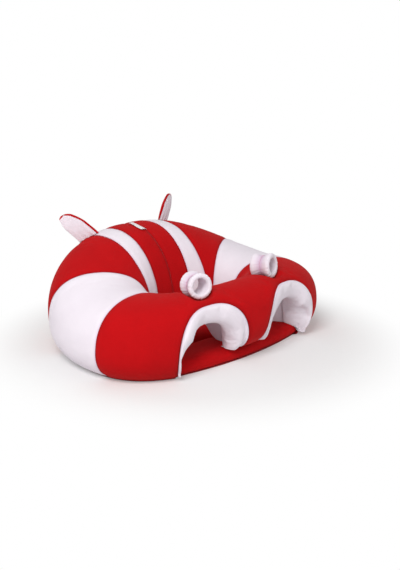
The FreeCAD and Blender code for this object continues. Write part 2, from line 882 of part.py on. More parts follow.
def horn_solid(inset):
    """Tube turned about its own Z."""
    upper, bore = horn_profile(inset)
    lower = [Vector(point.x, 0, -point.z) for point in reversed(upper[:-1])]
    path = upper + lower
    edges = [Part.Arc(path[0], path[1], path[2]).toShape()]
    edges.append(line(path[2], path[3]))
    edges.append(Part.Arc(path[3], path[4], path[5]).toShape())
    edges.append(line(path[5], path[6]))
    edges.append(Part.Arc(path[6], path[7], path[8]).toShape())
    edges.append(line(path[8], path[0]))
    return Part.Face(Part.Wire(edges)).revolve(Vector(), Vector(0, 0, 1), 360)


HORN_PLACEMENT, HORN_AXIS, HORN_UP = horn_frame()
HORN_PLACEMENTS = {"left": HORN_PLACEMENT, "right": mirrored_placement(HORN_PLACEMENT)}

for side, placement in HORN_PLACEMENTS.items():
    wadding = horn_solid(size("lining_cloth"))
    sleeve = horn_solid(0.0).cut(wadding)
    for name, shape in ((f"horn_{side}_wadding", wadding), (f"horn_{side}_sleeve", sleeve)):
        piece = add_shape(name, shape)
        piece.Placement = placement
    lining = DOCUMENT.addObject("PartDesign::Body", f"horn_{side}_bore_lining")
    sketch = sketch_on(lining, "XZ_Plane")
    half_run = "sizes.horn_length / 2 - sizes.horn_rim_puff"
    draw_rectangle(
        sketch,
        "sizes.horn_bore_radius",
        "sizes.horn_bore_radius + sizes.lining_cloth",
        f"-({half_run})",
        half_run,
    )
    turned = lining.newObject("PartDesign::Revolution", f"horn_{side}_bore_turned")
    turned.Profile = sketch
    turned.ReferenceAxis = (sketch, ["V_Axis"])
    turned.Angle = 360
    lining.Placement = placement
    keep(lining, f"horn_{side}_bore_lining")
    thread = DOCUMENT.addObject("Part::Torus", f"horn_{side}_thread")
    thread.setExpression("Radius1", "sizes.horn_waist_radius + sizes.horn_thread_radius")
    thread.setExpression("Radius2", "sizes.horn_thread_radius")
    thread.Placement = placement
    keep(thread, f"horn_{side}_thread")

# Ears: red back, white face and thin wadding


def ear_frame():
    """Root point, hinge direction and upward direction of the left ear."""
    turn, angle = math.radians(size("ear_turn")), math.radians(size("ear_section_angle"))
    step = math.radians(1)
    root = wall_point(turn, angle)
    along = (wall_point(turn - step, angle) - wall_point(turn + step, angle)).normalize()
    climb = wall_point(turn, angle + step) - wall_point(turn, angle - step)
    climb = (climb - along * climb.dot(along)).normalize()
    outward = along.cross(climb).normalize()
    if outward.y < 0:
        outward = outward * -1
    slant, tilt = math.radians(size("ear_root_slant_angle")), math.radians(size("ear_tilt_angle"))
    hinge = along * math.cos(slant) - climb * math.sin(slant)
    over = climb * math.cos(slant) + along * math.sin(slant)
    rise = outward * math.cos(tilt) + over * math.sin(tilt)
    return root + outward * size("ear_root_gap"), hinge, rise


def ear_stations():
    """Half width, half thickness, sideways lean and height of each section of the ear."""
    rows = []
    for i in range(EAR_STATIONS):
        share = i / (EAR_STATIONS - 1)
        swell = math.sin(math.pi * share ** EAR_SWELL_POWER)
        tip = max(share - EAR_TIP_START_SHARE, 0.0) / (1 - EAR_TIP_START_SHARE)
        width = between(
            between(size("ear_root_half_width"), size("ear_half_width"), smooth(share * EAR_SPREAD_RATE)),
            size("ear_tip_half_width"),
            tip ** EAR_TIP_POWER,
        )
        ends = between(size("ear_root_thickness"), size("ear_tip_thickness"), share)
        thickness = ends + (size("ear_thickness") - ends) * swell
        rows.append((width, thickness / 2, size("ear_lean") * share, size("ear_length") * share))
    return rows


def ear_loft(kind):
    """One layer of the ear; its local X is the hinge and +Y its white face."""
    cloth = size("ear_cloth")
    wires = []
    for width, half, lean, height in ear_stations():
        core = half - cloth
        core_gap = size("filling_gap") if kind == "wadding" else 0.0
        left, right = Vector(lean - width, 0, height), Vector(lean + width, 0, height)
        core_left = left + Vector(cloth + core_gap, 0, 0)
        core_right = right - Vector(cloth + core_gap, 0, 0)
        front, back = Vector(lean, half, height), Vector(lean, -half, height)
        core_front = Vector(lean, core - core_gap, height)
        core_back = Vector(lean, core_gap - core, height)
        if kind == "wadding":
            edges = arcs_through([core_left, core_front, core_right, core_back, core_left])
        else:
            outer, inner = (front, core_front) if kind == "face" else (back, core_back)
            edges = [
                Part.Arc(left, outer, right).toShape(),
                line(right, core_right),
                Part.Arc(core_right, inner, core_left).toShape(),
                line(core_left, left),
            ]
        wires.append(Part.Wire(edges))
    return loft(wires)


EAR_ROOT, EAR_X, EAR_RISE = ear_frame()
EAR_ROTATION = Rotation(EAR_X, EAR_RISE.cross(EAR_X), EAR_RISE, "ZXY")
EAR_PLACEMENT = Placement(EAR_ROOT, EAR_ROTATION)
EAR_FACES_SITTER = EAR_RISE.cross(EAR_X).y < 0

for layer in ("wadding", "face", "back"):
    left_ear = ear_loft(layer)
    if not EAR_FACES_SITTER:
        left_ear = left_ear.mirror(Vector(), Vector(0, 1, 0))
    add_shape(f"ear_left_{layer}", left_ear).Placement = EAR_PLACEMENT
    add_shape(f"ear_right_{layer}", mirrored(left_ear)).Placement = mirrored_placement(EAR_PLACEMENT)

# Blank tag in the middle seam of the back

label_body = padded_body(
    "label_tag",
    "XZ_Plane",
    ("-sizes.label_length / 2", "sizes.label_length / 2", "0", "sizes.label_height"),
    "sizes.label_thickness",
)
round_edges(
    label_body,
    lambda edge: along_axis(edge, Vector(0, 1, 0)) and edge.CenterOfMass.z > size("label_height") / 2,
    "sizes.label_corner",
)


def label_placement():
    """Place of the tag along the crown of the back, leaning over to the sitter's right."""
    angle = math.radians(size("label_section_angle"))
    step = math.radians(1)
    along = (wall_point(math.pi, angle + step) - wall_point(math.pi, angle - step)).normalize()
    away = along.cross(Vector(1, 0, 0)).normalize()
    if away.z < 0:
        away = away * -1
    root = wall_point(math.pi, angle) + away * (size("label_root_gap") + size("label_thickness") / 2)
    upright = Rotation(along, away.cross(along), away, "ZXY")
    lean = Rotation(along, size("label_lean_angle"))
    if lean.multVec(away).x > 0:
        lean = lean.inverted()
    return Placement(root, lean.multiply(upright))


label_body.Placement = label_placement()
keep(label_body, "label_tag")

# Zip: tapes, coil, end stops, slider and pull

TAPE_BASE = size("filling_gap") - size("zip_seat_depth")
TAPE_TOP = TAPE_BASE + size("zip_tape_thickness")
COIL_TOP = TAPE_TOP + size("zip_coil_thickness")
zip_half = size("zip_half_angle")
tape_width = size("zip_tape_width")
coil_width = size("zip_coil_width")
stop_angle = math.degrees(size("zip_slider_thickness") / size("zip_arc_radius"))
gap_angle = math.degrees(size("zip_gap") / size("zip_arc_radius"))
coil_half = zip_half - 2 * stop_angle

add_shape("zip_tape_upper", zip_band(TAPE_BASE, TAPE_TOP, 0, tape_width, zip_half))
add_shape("zip_tape_lower", zip_band(TAPE_BASE, TAPE_TOP, -tape_width, 0, zip_half))
add_shape("zip_coil", zip_band(TAPE_TOP, COIL_TOP, -coil_width / 2, coil_width / 2, coil_half))
stops = [
    zip_band(TAPE_TOP, COIL_TOP, -coil_width / 2, coil_width / 2, stop_angle / 2, side * turn)
    for side, turn in ((-1, zip_half - stop_angle), (1, zip_half - stop_angle))
]
add_shape("zip_end_stops", Part.makeCompound(stops))


def zip_place(lift, turn):
    """Placement on the zip: X along it, Y away from the back, Z up the slope."""
    slope = math.radians(size("zip_slope_angle"))
    out = Vector(0, math.cos(slope), -math.sin(slope))
    up = Vector(0, math.sin(slope), math.cos(slope))
    point = Vector(0, size("zip_arc_radius"), size("zip_height")) + out * lift
    local = Placement(point, Rotation(out.cross(up), out, up, "ZXY"))
    swing = Placement(Vector(0, zip_axis_depth(), 0), Rotation(Vector(0, 0, 1), turn))
    return swing.multiply(local)


slider_turn = coil_half - math.degrees(size("zip_slider_length") / 2 / size("zip_arc_radius"))
slider_lift = COIL_TOP + size("zip_gap") + size("zip_slider_thickness") / 2
barrel_lift = slider_lift + size("zip_slider_thickness") / 2 + size("zip_gap") + size("zip_barrel_radius")

slider_body = padded_body(
    "zip_slider",
    "XZ_Plane",
    (
        "-sizes.zip_slider_length / 2",
        "sizes.zip_slider_length / 2",
        "-sizes.zip_slider_width / 2",
        "sizes.zip_slider_width / 2",
    ),
    "sizes.zip_slider_thickness",
)
lugs = sketch_on(slider_body, "XZ_Plane")
lug_near = "sizes.zip_pull_width / 2 + sizes.zip_gap"
lug_far = f"{lug_near} + sizes.zip_lug_thickness"
lug_reach = "sizes.zip_barrel_radius"
draw_rectangle(lugs, lug_near, lug_far, f"-{lug_reach}", lug_reach)
draw_rectangle(lugs, f"-({lug_far})", f"-({lug_near})", f"-{lug_reach}", lug_reach)
lug_pad = slider_body.newObject("PartDesign::Pad", "zip_slider_lugs")
lug_pad.Profile = lugs
lug_pad.Reversed = True
lug_pad.setExpression(
    "Length",
    "sizes.zip_slider_thickness / 2 + sizes.zip_gap + 2 * sizes.zip_barrel_radius",
)
slider_body.Placement = zip_place(slider_lift, -slider_turn)
keep(slider_body, "zip_slider")

pull_body = padded_body(
    "zip_pull",
    "XZ_Plane",
    ("-sizes.zip_pull_width / 2", "sizes.zip_pull_width / 2", "-sizes.zip_pull_length", "0"),
    "sizes.zip_pull_thickness",
)
barrel = sketch_on(pull_body, "YZ_Plane")
barrel.addGeometry(Part.Circle(Vector(), Vector(0, 0, 1), size("zip_barrel_radius")))
barrel.addConstraint(Sketcher.Constraint("Coincident", 0, 3, -1, 1))
bind(barrel, Sketcher.Constraint("Radius", 0, size("zip_barrel_radius")), "sizes.zip_barrel_radius")
barrel_pad = pull_body.newObject("PartDesign::Pad", "zip_pull_barrel")
barrel_pad.Profile = barrel
barrel_pad.SideType = "Symmetric"
barrel_pad.setExpression("Length", "sizes.zip_pull_width")
DOCUMENT.recompute()
round_edges(
    pull_body,
    lambda edge: along_axis(edge, Vector(0, 1, 0)) and edge.CenterOfMass.z < -size("zip_pull_length") / 2,
    f"sizes.zip_pull_width / {PULL_EYE_PARTS}",
)
hinge = zip_place(barrel_lift, -slider_turn)
upright = Rotation(Vector(0, 0, 1), -slider_turn)
pull_body.Placement = Placement(hinge.Base, upright)
keep(pull_body, "zip_pull")

# Joint axes, checks and export


def report_point(label, point):
    """Print a place or direction in the seat's own frame."""
    print(label, *(round(value, 4) for value in (point.x, point.y, point.z)))


report_point("ear_left pivot", EAR_ROOT)
report_point("ear_left axis", EAR_X)
report_point("horn_left pivot", HORN_PLACEMENT.Base - HORN_UP * size("horn_rock_depth"))
report_point("horn_left axis", HORN_AXIS)
report_point("horn_left centre", HORN_PLACEMENT.Base)
report_point("label pivot", label_body.Placement.Base)
report_point("label axis", label_body.Placement.Rotation.multVec(Vector(1, 0, 0)))
report_point("zip axis", Vector(0, zip_axis_depth(), 0))
report_point("pull pivot", hinge.Base)
report_point("pull axis", upright.multVec(Vector(1, 0, 0)))
print("slider travel", round(2 * slider_turn, 4))

DOCUMENT.recompute()
for item in DOCUMENT.Objects:
    if {"Invalid", "Error"} & set(item.State):
        raise RuntimeError(f"{item.Name} did not build: {item.State}")
for item in PARTS:
    if item.Shape.isNull() or not item.Shape.isValid():
        raise RuntimeError(f"{item.Label} has no valid shape")
    box = item.Shape.optimalBoundingBox(False)
    corners = [round(value) for value in (box.XMin, box.XMax, box.YMin, box.YMax, box.ZMin, box.ZMax)]
    print(item.Label, len(item.Shape.Solids), "solids", round(item.Shape.Volume), "mm3", corners)

os.makedirs("parts", exist_ok=True)
for item in PARTS:
    item.Shape.exportStep(f"parts/{item.Label}.step")
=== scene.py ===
"""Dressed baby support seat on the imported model: plush, seams, stitches and zip.

Metres, floor at z = 0, the sitter faces -Y. The stuffed wall, its arches, lips, cuffs
and ears repeat the sizes of the solids, so each piece sits where its node is.
"""
import math

import bmesh
import bpy
import numpy as np
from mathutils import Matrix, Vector, noise


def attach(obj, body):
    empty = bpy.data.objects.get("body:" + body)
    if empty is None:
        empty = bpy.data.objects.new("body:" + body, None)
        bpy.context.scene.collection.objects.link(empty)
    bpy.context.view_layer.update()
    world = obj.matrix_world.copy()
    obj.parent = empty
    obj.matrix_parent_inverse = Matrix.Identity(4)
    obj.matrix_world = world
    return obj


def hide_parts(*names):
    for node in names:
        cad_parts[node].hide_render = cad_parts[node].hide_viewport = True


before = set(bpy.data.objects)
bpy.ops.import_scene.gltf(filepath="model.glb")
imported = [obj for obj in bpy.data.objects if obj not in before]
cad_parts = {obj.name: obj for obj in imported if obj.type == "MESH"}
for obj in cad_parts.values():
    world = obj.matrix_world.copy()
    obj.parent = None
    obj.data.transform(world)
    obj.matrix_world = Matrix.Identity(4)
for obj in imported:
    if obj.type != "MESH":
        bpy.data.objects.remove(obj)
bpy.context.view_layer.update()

SIDES = {"left": 1, "right": -1}
FLIPS = {side: np.array([sign, 1, 1]) for side, sign in SIDES.items()}

# plans of the stuffed wall: half width, depth in front and behind, fullness
OUTER_PLAN = (0.281, 0.167, 0.238, 2.45)
WELL_PLAN = (0.097, 0.050, 0.062, 2.2)
RAIL_HEIGHT, ARM_HEIGHT, BACK_HEIGHT = 0.141, 0.137, 0.204
ARM_LEAN, BACK_LEAN = -0.010, 0.026
WALL_FULLNESS, FOOT_SHARE = 2.3, 0.88
RAIL_FALL_START, RAIL_FALL = 20, 60
POST_HALF_WIDTH, POST_FADE = 0.07, 0.03

# seams over the wall: degrees from the front, or how far a stripe's plane lies aside
FRONT_SEAM, ARM_SEAM, BACK_SEAM = 82.3, 121.3, 180.0
STRIPE_SIDES = {"inner": (0.041, 0.049), "outer": (0.0715, 0.0915)}

# leg arches at the well and at the front: depth, centre, half width, top
ARCH_WELL = (0.040, 0.060, 0.038, 0.104)
ARCH_FRONT = (0.140, 0.102, 0.080, 0.1285)
ARCH_FULLNESS = 2.8

# lips round the arches: the clear opening's centre, half width and top; their own shape
LIP_CLEAR, LIP_FULLNESS = (0.102, 0.058, 0.092), 2.4
LIP_REAR, LIP_BULGE, LIP_GAP = 0.100, 0.008, 0.0007
LIP_TURN_IN, LIP_INNER_TURN_IN, LIP_POST_DRAW = 0.3, 0.6, 0.018

# pad under the legs, foot of the post
PAD_TOP, PAD_HALF_WIDTH = 0.027, 0.165
POST_FOOT = 0.0285

# thickness of the cloths
PANEL_CLOTH, LINING_CLOTH, SLEEVE_CLOTH = 0.0014, 0.001, 0.0008
BORE_CLOTH, EAR_CLOTH = 0.0006, 0.0004
BOTTOM_CLOTH, RIBBON = 0.0015, 0.00025

# how a seam draws the plush in, and how wide the painted shade along it is
SEAM_DIP, SEAM_WIDTH, SEAM_SHADE_WIDTH = 0.0018, 0.0055, 0.003


# Small helpers


def spow(value, exponent):
    """Power that keeps the sign of its base."""
    return np.sign(value) * np.abs(value) ** exponent


def smooth(share):
    """Soft step from 0 to 1."""
    share = np.clip(share, 0.0, 1.0)
    return share * share * (3 - 2 * share)


def mix(low, high, share):
    """Value a share of the way from low to high."""
    return low + (high - low) * share


def unit(vectors):
    """Vectors of length one."""
    return vectors / np.maximum(np.linalg.norm(vectors, axis=-1, keepdims=True), 1e-12)


def fade(value, full, width):
    """1 up to a value, then a soft fall to 0 over a width."""
    return smooth(1 - (value - full) / width)


def bell(distance, width):
    """1 at no distance, next to nothing from two widths on."""
    return np.exp(-((distance / width) ** 2))


def pointing(vector, axis, sign=1):
    """The vector or its opposite, whichever points up or down an axis."""
    return vector if vector[axis] * sign > 0 else -vector


def run_along(points):
    """Distance run at each point of lines of points."""
    steps = np.linalg.norm(np.diff(points, axis=-2), axis=-1)
    return np.concatenate([0 * steps[..., :1], np.cumsum(steps, axis=-1)], axis=-1)


def cloud(points, scale, seed):
    """Soft random field between -1 and 1 over points."""
    flat = points.reshape(-1, 3)
    values = [noise.noise(Vector(p) * scale + Vector((seed, 2.0 * seed, -seed))) for p in flat]
    return np.array(values).reshape(points.shape[:-1])


def add_object(name, data):
    """Object of some data, in the scene."""
    item = bpy.data.objects.new(name, data)
    bpy.context.scene.collection.objects.link(item)
    return item


def make_piece(name, points, faces, turned=False):
    """Mesh object from points and faces, its place in its mesh."""
    mesh = bpy.data.meshes.new(name)
    mesh.from_pydata([tuple(p) for p in points], [], [tuple(int(i) for i in f) for f in faces])
    mesh.validate()
    mesh.shade_smooth()
    if turned:
        mesh.flip_normals()
    return add_object(name, mesh)


def used_only(points, faces):
    """Points that faces use, the faces counted on them, and the points' old numbers."""
    used = sorted({v for face in faces for v in face})
    number = {v: i for i, v in enumerate(used)}
    return points[used], [[number[v] for v in face] for face in faces], used


def round_turn(count):
    """Even turns round a circle."""
    return np.linspace(0, 2 * math.pi, count + 1)[:-1]


def split(offset, axis):
    """How far offsets reach along an axis, and what is left of them across it."""
    along = offset @ axis
    return along, offset - along[..., None] * axis


def grid_faces(rows, columns, closed_rows=False, closed_columns=False):
    """Quads over a grid of points stored row by row."""
    faces = []
    for i in range(rows if closed_rows else rows - 1):
        for j in range(columns if closed_columns else columns - 1):
            a, b = i * columns + j, i * columns + (j + 1) % columns
            c, d = ((i + 1) % rows) * columns + (j + 1) % columns, ((i + 1) % rows) * columns + j
            faces.append((a, b, c, d))
    return faces


def coordinates(piece):
    """Points of a piece's mesh."""
    points = np.empty(len(piece.data.vertices) * 3)
    piece.data.vertices.foreach_get("co", points)
    return points.reshape(-1, 3)


def set_coordinates(piece, points):
    """Move a piece's points."""
    piece.data.vertices.foreach_set("co", np.asarray(points, float).ravel())
    piece.data.update()


def mark_seam_shade(piece, values):
    """Store how near a seam or groove each point of a piece lies, 1 on it; the plush paints shade
    there.
    """
    attribute = piece.data.attributes.new("seam", "FLOAT", "POINT")
    attribute.data.foreach_set("value", np.asarray(values, np.float32).ravel())


def modify(piece, kind, **settings):
    """Turn the work of one modifier on a piece into plain mesh."""
    modifier = piece.modifiers.new("step", kind)
    for key, value in settings.items():
        setattr(modifier, key, value)
    graph = bpy.context.evaluated_depsgraph_get()
    mesh = bpy.data.meshes.new_from_object(piece.evaluated_get(graph))
    piece.modifiers.clear()
    piece.data = mesh
    mesh.shade_smooth()


def make_solid(name, points, faces):
    """Closed piece from points and faces, its faces turned outwards."""
    piece = make_piece(name, points, faces)
    work = bmesh.new()
    work.from_mesh(piece.data)
    bmesh.ops.remove_doubles(work, verts=work.verts, dist=1e-6)
    bmesh.ops.recalc_face_normals(work, faces=work.faces)
    work.to_mesh(piece.data)
    work.free()
    return piece


def look_along(piece, index, way):
    """Turn a cloth over if one of its faces looks against a direction."""
    if piece.data.polygons[index].normal.dot(Vector(way)) < 0:
        piece.data.flip_normals()


def tube(name, rings):
    """Closed roll through rings of points, both its ends capped."""
    rows, around = rings.shape[:2]
    faces = grid_faces(rows, around, closed_columns=True)
    faces += [tuple(range(around))[::-1], tuple(range((rows - 1) * around, rows * around))]
    return make_solid(name, rings.reshape(-1, 3), faces)


def subdivide(piece):
    """Smooth a piece with one level of subdivision."""
    modify(piece, "SUBSURF", levels=1, render_levels=1)


def thicken(piece, thickness):
    """Give a cloth its thickness, inwards from its face."""
    modify(piece, "SOLIDIFY", thickness=thickness, offset=-1.0, use_rim=True)


# Stuffed wall


def plan_points(turn, plan):
    """Points of a rounded plan outline; turn 0 is the middle of the front."""
    half_width, front_depth, back_depth, fullness = plan
    sine, cosine = np.sin(turn), np.cos(turn)
    depth = np.where(cosine > 0, front_depth, back_depth)
    x = half_width * spow(sine, 2 / fullness)
    y = -depth * spow(cosine, 2 / fullness)
    return np.stack([x, y, np.zeros_like(x)], axis=-1)


def wall_frame(turn):
    """Middle, outward direction, half width, half height, level, lean and foot of the sections."""
    degrees = np.degrees(np.abs(turn))
    degrees = np.minimum(degrees, 360 - degrees)
    outer, inner = plan_points(turn, OUTER_PLAN), plan_points(turn, WELL_PLAN)
    across = outer - inner
    ahead, behind = degrees < 90, smooth(degrees / 90 - 1)
    rail = mix(RAIL_HEIGHT, ARM_HEIGHT, smooth((degrees - RAIL_FALL_START) / RAIL_FALL))
    height = np.where(ahead, rail, mix(ARM_HEIGHT, BACK_HEIGHT, behind))
    lean = np.where(ahead, ARM_LEAN * smooth(degrees / 90), mix(ARM_LEAN, BACK_LEAN, behind))
    lifted = 1 - smooth((np.abs(outer[..., 0]) - POST_HALF_WIDTH) / POST_FADE)
    foot = mix(BOTTOM_CLOTH, POST_FOOT, np.where(outer[..., 1] < 0, lifted, 0.0))
    half_height = (height - foot) / (1 + FOOT_SHARE)
    level = foot + FOOT_SHARE * half_height
    half_width = np.linalg.norm(across, axis=-1) / 2
    return (outer + inner) / 2, unit(across), half_width, half_height, level, lean, foot


def wall_points(turn, angle, outset=0.0):
    """Points of the wall's cover; angle 0 is the outside, a quarter turn the crown."""
    turn, angle = np.broadcast_arrays(turn, angle)
    middle, outward, half_width, half_height, level, lean, foot = wall_frame(turn)
    rise = spow(np.sin(angle), 2 / WALL_FULLNESS)
    reach = (half_width + outset) * spow(np.cos(angle), 2 / WALL_FULLNESS) + lean * rise
    points = middle + outward * reach[..., None]
    points[..., 2] = np.maximum(level + (half_height + outset) * rise, foot)
    return points


FOOT_ANGLE = math.asin(FOOT_SHARE ** (WALL_FULLNESS / 2))


def bisect(near, far, before):
    """Turns between near and far at which a test ends, by halving."""
    for _ in range(40):
        turn = (near + far) / 2
        early = before(turn)
        near, far = np.where(early, turn, near), np.where(early, far, turn)
    return turn


def angle_at(turn, height):
    """Section angle at which the wall's outer face reaches a height."""
    _, _, _, half_height, level, _, _ = wall_frame(turn)
    return np.arcsin(spow(np.clip((height - level) / half_height, -1, 1), WALL_FULLNESS / 2))


def seam_turns(seam, angles):
    """Turns of a seam: the same all over, or where an upright plane cuts the wall."""
    if seam not in STRIPE_SIDES:
        return np.full_like(angles, math.radians(seam))
    near_side, back_side = STRIPE_SIDES[seam]

    def beside(turn):
        point = wall_points(turn, angles)
        return point[..., 0] > mix(near_side, back_side, point[..., 1] / OUTER_PLAN[2])

    return bisect(np.full_like(angles, math.pi / 2), np.full_like(angles, math.pi), beside)


def wall_grid(first, last, columns, rows):
    """Turns, section angles and points of an evenly spaced grid between two seams."""
    dense = np.linspace(-FOOT_ANGLE, math.pi + FOOT_ANGLE, 1200)
    share = np.linspace(0, 1, columns + 1)[:, None]
    dense_turns = mix(seam_turns(first, dense), seam_turns(last, dense), share)
    path = wall_points(dense_turns, dense[None, :])
    shares = np.linspace(0, 1, rows + 1)
    angles = np.stack([np.interp(shares * run[-1], run, dense) for run in run_along(path)])
    turns = np.stack([np.interp(a, dense, t) for a, t in zip(angles, dense_turns)])
    return turns, angles, wall_points(turns, angles)


def arch_values(depth):
    """Centre, half width and top of a leg arch in the plane y = -depth."""
    share = (depth - ARCH_WELL[0]) / (ARCH_FRONT[0] - ARCH_WELL[0])
    return [mix(well, front, share) for well, front in zip(ARCH_WELL[1:], ARCH_FRONT[1:])]


def arch_field(points):
    """Below 1 inside a leg arch, above 1 outside it."""
    centre, half_width, top = arch_values(-points[..., 1])
    half_width, top = np.maximum(half_width, 0.01), np.maximum(top, 0.02)
    across = np.abs(np.abs(points[..., 0]) - centre) / half_width
    up = np.maximum(points[..., 2], 0.0) / top
    field = (across**ARCH_FULLNESS + up**ARCH_FULLNESS) ** (1 / ARCH_FULLNESS)
    return np.where(points[..., 1] < 0, field, 9.0)


def snap_to_arch(turn, angle):
    """Slide grid points along the wall on to the arch's edge."""
    step = 1e-4
    for _ in range(8):
        field = arch_field(wall_points(turn, angle)) - 1.0
        by_turn = (arch_field(wall_points(turn + step, angle)) - 1.0 - field) / step
        by_angle = (arch_field(wall_points(turn, angle + step)) - 1.0 - field) / step
        scale = by_turn**2 + by_angle**2 + 1e-9
        turn, angle = turn - field * by_turn / scale, angle - field * by_angle / scale
    return turn, angle


def seam_dip(reach):
    """How far a seam draws the plush in at a distance from it."""
    return SEAM_DIP * bell(reach, SEAM_WIDTH)


LABEL_PIVOT, LABEL_LENGTH, LABEL_HEIGHT = np.array([0.0, 0.1563002, 0.2035129]), 0.038, 0.013
LABEL_END_FADE, LABEL_SIDE_FADE, LABEL_ZONE = 0.006, 0.016, 0.02


def by_label(points):
    """How near points lie to the tag, which holds its seam up."""
    offset = np.abs(points - LABEL_PIVOT)
    along = fade(offset[..., 1], LABEL_LENGTH / 2, LABEL_END_FADE)
    return along * fade(offset[..., 0], 0, LABEL_SIDE_FADE) * (offset[..., 2] < LABEL_ZONE)


def outward_way(turn, angle):
    """Direction that leaves the wall's face at right angles."""
    return unit(wall_points(turn, angle, 0.002) - wall_points(turn, angle, -0.002))


def draw_in(points, turn, angle, amount):
    """Points moved into the wall by an amount."""
    return points - outward_way(turn, angle) * np.asarray(amount)[..., None]


# Rail cuffs: place and the dents they press into the rail

CUFF_PLACE = np.array([0.0915, -0.0925, 0.152])
CUFF_AXIS = unit(np.array([0.2852, -0.9507, 0.1219]))
CUFF_UP = unit(np.array([0, 0, 1.0]) - CUFF_AXIS * CUFF_AXIS[2])
CUFF_ACROSS = np.cross(CUFF_UP, CUFF_AXIS)
CUFF_LENGTH, CUFF_RIM, CUFF_ROOM, CUFF_DRAWN_SHARE = 0.048, 0.024, 0.0016, 0.84
CUFF_ROCK_DEPTH, CUFF_ROCK_ANGLE = 0.014, 15.0
DENT_MARGIN, DENT_FADE = 0.001, 0.008


def cuff_frame(side):
    """Middle, across, up and axis of one cuff."""
    return [part * FLIPS[side] for part in (CUFF_PLACE, CUFF_ACROSS, CUFF_UP, CUFF_AXIS)]


def press_under_cuffs(points):
    """Dent the rail where the cuffs lie and rock on it."""
    points = points.copy()
    for side in SIDES:
        place, across, up, axis = cuff_frame(side)
        pivot = place - up * CUFF_ROCK_DEPTH
        for lean in np.radians(np.linspace(-CUFF_ROCK_ANGLE, CUFF_ROCK_ANGLE, 5)):
            centre = pivot + (up * math.cos(lean) + across * math.sin(lean)) * CUFF_ROCK_DEPTH
            along, radial = split(points - centre, axis)
            distance = np.linalg.norm(radial, axis=-1)
            beside = fade(np.abs(along) - CUFF_LENGTH / 2, DENT_MARGIN, DENT_FADE)
            depth = np.maximum(CUFF_RIM + CUFF_ROOM - distance, 0.0) * beside
            points += unit(radial) * depth[..., None]
    return points


# Zip: place and the hollow it lies in

ZIP_RADIUS, ZIP_HALF_ANGLE, ZIP_HEIGHT = 0.700, 6.1, 0.034
ZIP_AXIS = np.array([0.0, -0.4889188, 0.0])
ZIP_SLOPE = math.radians(31)
TAPE_BASE, TAPE_TOP, TAPE_WIDTH, TAPE_SEAT, TAPE_WAVE = -0.0006, 0.0002, 0.011, 0.0009, 0.00008
ZIP_MARGIN, ZIP_FADE, ZIP_END_MARGIN, ZIP_END_FADE, ZIP_ZONE = 0.0022, 0.004, 0.15, 0.4, 0.02


def over_zip(points):
    """How fully points lie over the zip, their height off it and its outward way there."""
    offset = points - ZIP_AXIS
    radius = np.hypot(offset[..., 0], offset[..., 1])
    degrees = np.degrees(np.arctan2(-offset[..., 0], offset[..., 1]))
    beyond, above = radius - ZIP_RADIUS, offset[..., 2] - ZIP_HEIGHT
    run = beyond * math.sin(ZIP_SLOPE) + above * math.cos(ZIP_SLOPE)
    lift = beyond * math.cos(ZIP_SLOPE) - above * math.sin(ZIP_SLOPE)
    share = fade(np.abs(run) - TAPE_WIDTH, ZIP_MARGIN, ZIP_FADE) * (np.abs(lift) < ZIP_ZONE)
    share = share * fade(np.abs(degrees) - ZIP_HALF_ANGLE, ZIP_END_MARGIN, ZIP_END_FADE)
    outward = offset / np.maximum(radius, 1e-9)[..., None] * math.cos(ZIP_SLOPE)
    outward[..., 2] = -math.sin(ZIP_SLOPE)
    return share, lift, outward


def press_under_zip(points):
    """Hollow out the cover where the zip's tapes lie."""
    share, lift, outward = over_zip(points)
    return points - outward * (np.maximum(lift + TAPE_SEAT, 0.0) * share)[..., None]


# Cloth simulation of the stuffed pieces

SWELL_FRAMES = 20
CLOTH = {
    "quality": 5, "mass": 0.3, "tension_stiffness": 15, "compression_stiffness": 15,
    "shear_stiffness": 5, "bending_stiffness": 0.5, "use_pressure": True,
    "uniform_pressure_force": 4.0, "vertex_group_mass": "held",
}
WALL_CAP, WALL_GROWTH = 0.003, 0.0025
LIP_CAP, CUSHION_CAP, PAD_CAP, ROLL_GROWTH, ROLL_HOLD = 0.003, 0.004, 0.0028, 0.012, 0.004
PAD_MESH = 0.0045
SIM_JOBS = []


def swell_later(piece, held, cap, growth):
    """Have a piece inflated with the others; held is 1 where sewing holds it."""
    group = piece.vertex_groups.new(name="held")
    held = np.clip(np.asarray(held, float).ravel(), 0, 1)
    for index, weight in enumerate(held):
        if weight > 0:
            group.add([index], float(weight), "REPLACE")
    SIM_JOBS.append((piece, coordinates(piece), cap, growth, held))


def swell_all():
    """Inflate the waiting pieces together and keep the result in their meshes."""
    scene = bpy.context.scene
    for piece, _, _, growth, _ in SIM_JOBS:
        modifier = piece.modifiers.new("stuffing", "CLOTH")
        settings = modifier.settings
        for key, value in CLOTH.items():
            setattr(settings, key, value)
        settings.shrink_min = -growth
        settings.effector_weights.gravity = 0.0
        modifier.collision_settings.use_collision = False
        modifier.point_cache.frame_start, modifier.point_cache.frame_end = 1, SWELL_FRAMES
    for number in range(1, SWELL_FRAMES + 1):
        scene.frame_set(number)
    graph = bpy.context.evaluated_depsgraph_get()
    swollen = []
    for piece, start, *_ in SIM_JOBS:
        points = np.empty(len(start) * 3)
        piece.evaluated_get(graph).data.vertices.foreach_get("co", points)
        swollen.append(points.reshape(-1, 3))
    for (piece, start, cap, _, held), points in zip(SIM_JOBS, swollen):
        piece.modifiers.clear()
        piece.vertex_groups.clear()
        move = points - start
        length = np.linalg.norm(move, axis=1, keepdims=True)
        length = np.where(np.isfinite(length), length, 0.0)
        move = np.where(np.isfinite(move), move, 0.0)
        limited = cap * np.tanh(length / cap) / np.maximum(length, 1e-9)
        set_coordinates(piece, start + move * limited * (1 - held)[:, None])
    scene.frame_set(1)


# Nodes of materials, of the room and of repeated forms


